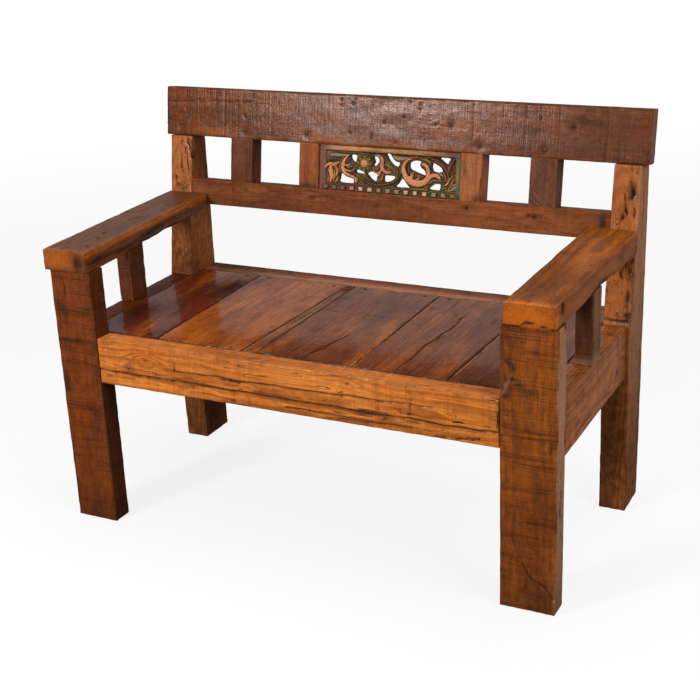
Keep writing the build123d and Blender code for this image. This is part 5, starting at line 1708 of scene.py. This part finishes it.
@dataclass
class Studio:
    """Camera, lamps, floor and background."""

    datum: Datum
    camera_place: Place = (1261.99, -2175.49, 1435.93)
    yaw: float = 0.4728
    pitch: float = -0.3641
    roll: float = -0.0425
    focal_pixels: float = 1331.54
    picture_pixels: float = 700.0
    sensor: float = 36.0
    world_light: float = 0.34
    room_shine: float = 0.03
    screen_shine: float = 0.42
    screen_light: float = 0.34
    floor_size: float = 40000.0
    screen_distance: float = 9000.0
    screen_height: float = 14000.0
    matt_grey: float = 0.86

    def camera(self) -> None:
        """The camera of the photograph, turned by its yaw, then its pitch and its roll."""
        data = bpy.data.cameras.new("camera")
        data.sensor_width = self.sensor
        data.lens = self.focal_pixels / self.picture_pixels * self.sensor
        data.clip_end = 100
        camera = bpy.data.objects.new("camera", data)
        place = Vector(self.camera_place) - Vector((0, self.datum.middle, 0))
        turn = Matrix.Translation(place * METRE)
        for angle, axis in ((self.yaw, "Z"), (math.pi / 2 + self.pitch, "X"), (self.roll, "Z")):
            turn = turn @ Matrix.Rotation(angle, 4, axis)
        camera.matrix_world = turn
        bpy.context.scene.collection.objects.link(camera)
        bpy.context.scene.camera = camera

    def lamp(self, name: str, place: Place, target: Place, size: float, power: float, colour: Colour) -> None:
        """A square soft lamp, turned to a target; places are in metres."""
        data = bpy.data.lights.new(name, "AREA")
        data.shape, data.size, data.energy, data.color = "SQUARE", size, power, colour
        lamp = bpy.data.objects.new(name, data)
        lamp.location = place
        lamp.rotation_euler = (Vector(target) - Vector(place)).to_track_quat("-Z", "Y").to_euler()
        bpy.context.scene.collection.objects.link(lamp)

    def background(self) -> None:
        """A white background for the camera and through glass, a dark room in reflections, and a softer light
        on the object.
        """
        world = bpy.data.worlds.new("studio")
        bpy.context.scene.world = world
        world.use_nodes = True
        graph = Graph(world.node_tree)
        rays = graph.add("LightPath").outputs
        seen = graph.most(rays["Is Camera Ray"], rays["Is Transmission Ray"])
        strength = graph.more(seen, 1 - self.world_light, self.world_light)
        light = graph.add("Background")
        strength = graph.more(rays["Is Glossy Ray"], self.room_shine - self.world_light, strength)
        graph.feeds(light.inputs, {"Color": (1, 1, 1), "Strength": strength})
        graph.feed(graph.add("OutputWorld").inputs["Surface"], light.outputs[0])

    def paper(self, name: str, points: Sequence[Shares], shine: float, light: float, shaded: float) -> None:
        """A large white sheet: the floor, or the screen behind the bench.

        Args:
            name: the sheet's name.
            points: its four corners, in millimetres.
            shine: brightness in reflections, behind the bench; in front of it the room is dark.
            light: brightness as it lights the bench.
            shaded: share of the sheet's own shading, with the bench's shadow, that the camera sees.
        """
        sheet = make_object(name, np.array(points), np.array([[0, 1, 2, 3]]), 0)
        material = bpy.data.materials.new(name)
        material.use_nodes = True
        graph = Graph(material.node_tree)
        rays, place = graph.add("LightPath").outputs, graph.place()
        near = graph.spread(graph.vector("LENGTH", place), 1.5, 5, shaded, 0)
        behind = graph.spread(graph.split(place)["Y"], -0.4, 1.2, 0.05 * shine, shine)
        glow = graph.times(rays["Is Glossy Ray"], behind)
        white, matt = graph.add("Emission"), graph.add("BsdfDiffuse")
        seen = graph.most(rays["Is Camera Ray"], rays["Is Transmission Ray"])
        graph.feeds(white.inputs, {"Color": (1, 1, 1), "Strength": graph.most(seen, glow, light)})
        graph.feed(matt.inputs["Color"], (self.matt_grey,) * 3)
        blend = graph.add("MixShader")
        shade = graph.math("SUBTRACT", 1, graph.times(rays["Is Camera Ray"], near))
        graph.feeds(blend.inputs, {0: shade, 1: matt.outputs[0], 2: white.outputs[0]})
        graph.feed(graph.add("OutputMaterial").inputs["Surface"], blend.outputs[0])
        sheet.data.materials.append(material)

    def sheets(self) -> None:
        """The floor, which fades into the white background, and a screen far behind."""
        half, far, tall = self.floor_size / 2, self.screen_distance, self.screen_height
        floor = ((-half, -half, -0.5), (half, -half, -0.5), (half, half, -0.5), (-half, half, -0.5))
        screen = ((-half, far, 0), (half, far, 0), (half, far, tall), (-half, far, tall))
        self.paper("floor", floor, 0.55 * self.screen_shine, 0.12, 0.16)
        self.paper("screen", screen, self.screen_shine, self.screen_light, 0)

    def build(self) -> None:
        """Sets the camera, the lamps, the floor and the background."""
        self.camera()
        self.background()
        self.sheets()
        target = (0, 0, 0.45)
        self.lamp("key_lamp", (-1.35, -2.75, 1.55), target, 0.55, 80, (1, 0.97, 0.93))
        self.lamp("fill_lamp", (3, -1.2, 2), target, 2, 62, (1, 0.98, 0.96))
        self.lamp("top_lamp", (0.2, 0.6, 3.2), target, 2, 34, (1, 1, 1))
        bpy.context.scene.view_settings.view_transform = "Standard"


@dataclass
class Fasteners:
    """Worn peg ends and nail heads, in the places of the plain ones of the CAD."""

    datum: Datum
    crown: float = 0.9
    ragged: float = 0.10
    rows: int = 11

    def solids(self, node: bpy.types.Object) -> List[Array]:
        """Vertices of each separate solid of a node, in millimetres.

        Vertices in one place are one, and the lowest number spreads along the edges until every
        vertex of a solid has it.
        """
        points = np.array([node.matrix_world @ vertex.co for vertex in node.data.vertices]) / METRE
        points, same = np.unique(np.round(points, 3), axis=0, return_inverse=True)
        edges = same.reshape(-1)[np.array([edge.vertices[:] for edge in node.data.edges])]
        labels = np.arange(len(points))
        for _ in range(len(points)):
            lowest = labels[edges].min(axis=1)
            spread = labels.copy()
            np.minimum.at(spread, edges.ravel(), np.repeat(lowest, 2))
            if np.array_equal(spread, labels):
                break
            labels = spread[spread]
        return [points[labels == label] for label in np.unique(labels)]

    def knob(self, solid: Array, seed: int) -> Tuple[Array, Array, Array]:
        """One round peg or nail head with crowned ends and an uneven rim, within its CAD solid.

        A block's lattice is drawn into a round bar: a place (u, v) of its square section goes to
        (u sqrt(1 - v^2 / 2), v sqrt(1 - u^2 / 2)). The ends fall with the square of the radius.

        Returns:
            Places, faces, and the closeness of each place to the rim.
        """
        centre = (solid.min(axis=0) + solid.max(axis=0)) / 2
        values, turn = np.linalg.eigh(np.cov((solid - centre).T))
        lone = 0 if values[1] / values[0] > values[2] / values[1] else 2
        turn = np.roll(turn, 2 - lone, axis=1)
        turned = (solid - centre) @ turn
        radius, half = np.abs(turned[:, 0]).max(), np.abs(turned[:, 2]).max()
        lattice, quads = surface_lattice((self.rows, self.rows, 5))
        u, v = (2 * lattice[:, k] / (self.rows - 1) - 1 for k in (0, 1))
        disc = np.stack([u * np.sqrt(1 - v * v / 2), v * np.sqrt(1 - u * u / 2)], axis=1)
        away = np.linalg.norm(disc, axis=1)
        uneven = value_noise(disc, 0.45, seed)
        crown = min(self.crown, 0.5 * half) * (away ** 3 + 0.25 * np.abs(uneven))
        flat = disc * radius * (1 - self.ragged * (0.5 + 0.5 * uneven[:, None]))
        height = (lattice[:, 2] / 2 - 1) * (half - crown)
        if np.linalg.det(turn) < 0:
            quads = quads[:, ::-1]
        return np.column_stack([flat, height]) @ turn.T + centre, quads, np.clip(away, 0, 1) ** 6

    def iron(self) -> Material:
        """Dark iron, rusty in patches."""
        material, graph, shader = new_material("iron_nail")
        rust = graph.spread(graph.noise(graph.place(), (400,) * 3, 4, 0.6), 0.42, 0.62)
        graph.feeds(shader, {
            "Base Color": graph.mix(rust, (0.035, 0.028, 0.025), (0.1, 0.035, 0.012)),
            "Metallic": graph.more(rust, -0.7, 0.8), "Roughness": graph.more(rust, 0.35, 0.4)})
        return material

    def build(self) -> None:
        """Replaces every node of pegs or nails by one worn piece, and dresses the cleats."""
        wood = replace(BROWN_TIMBER, light=(0.34, 0.17, 0.07), dark=(0.2, 0.09, 0.035), varnish=0)
        pegs = replace(DARK_TIMBER, light=(0.2, 0.075, 0.025), joint=0.9, mottle=0.7, relief=0.0006)
        looks = {"cleat": wood.material("hidden_timber", np.eye(3), np.zeros(3), 80),
                 "pegs": pegs.material("peg_timber", np.eye(3), np.zeros(3), 81), "nails": self.iron()}
        for name, node in list(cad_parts.items()):
            kind = next((key for key in looks if key in name), "")
            if kind == "cleat":
                node.data.materials.clear()
                node.data.materials.append(looks[kind])
            elif kind:
                parts = [self.knob(solid, 90 + k) for k, solid in enumerate(self.solids(node))]
                starts = np.cumsum([0] + [len(part[0]) for part in parts[:-1]])
                faces = np.concatenate([part[1] + start for part, start in zip(parts, starts)])
                points, rim = (np.concatenate([part[k] for part in parts]) for k in (0, 2))
                piece = make_object(name + "_worn", points, faces, 0, {"edge": rim})
                piece.data.materials.append(looks[kind])
                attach(piece, BODY)
                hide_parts(name)
                LOG.info("%s: %d round pieces", name, len(parts))


def main() -> None:
    """Builds the bench and its studio."""
    logging.basicConfig(level=logging.INFO, format="%(message)s")
    datum = Datum()
    legs = FrontLegs(datum)
    legs.build()
    SeatFrame(datum, legs).build()
    SeatBoards(datum).build()
    Arms(datum).build()
    back = BackFrame(datum)
    back.build()
    CarvedPanel(datum, back).build()
    Fasteners(datum).build()
    Studio(datum).build()


if __name__ == "__main__":
    main()
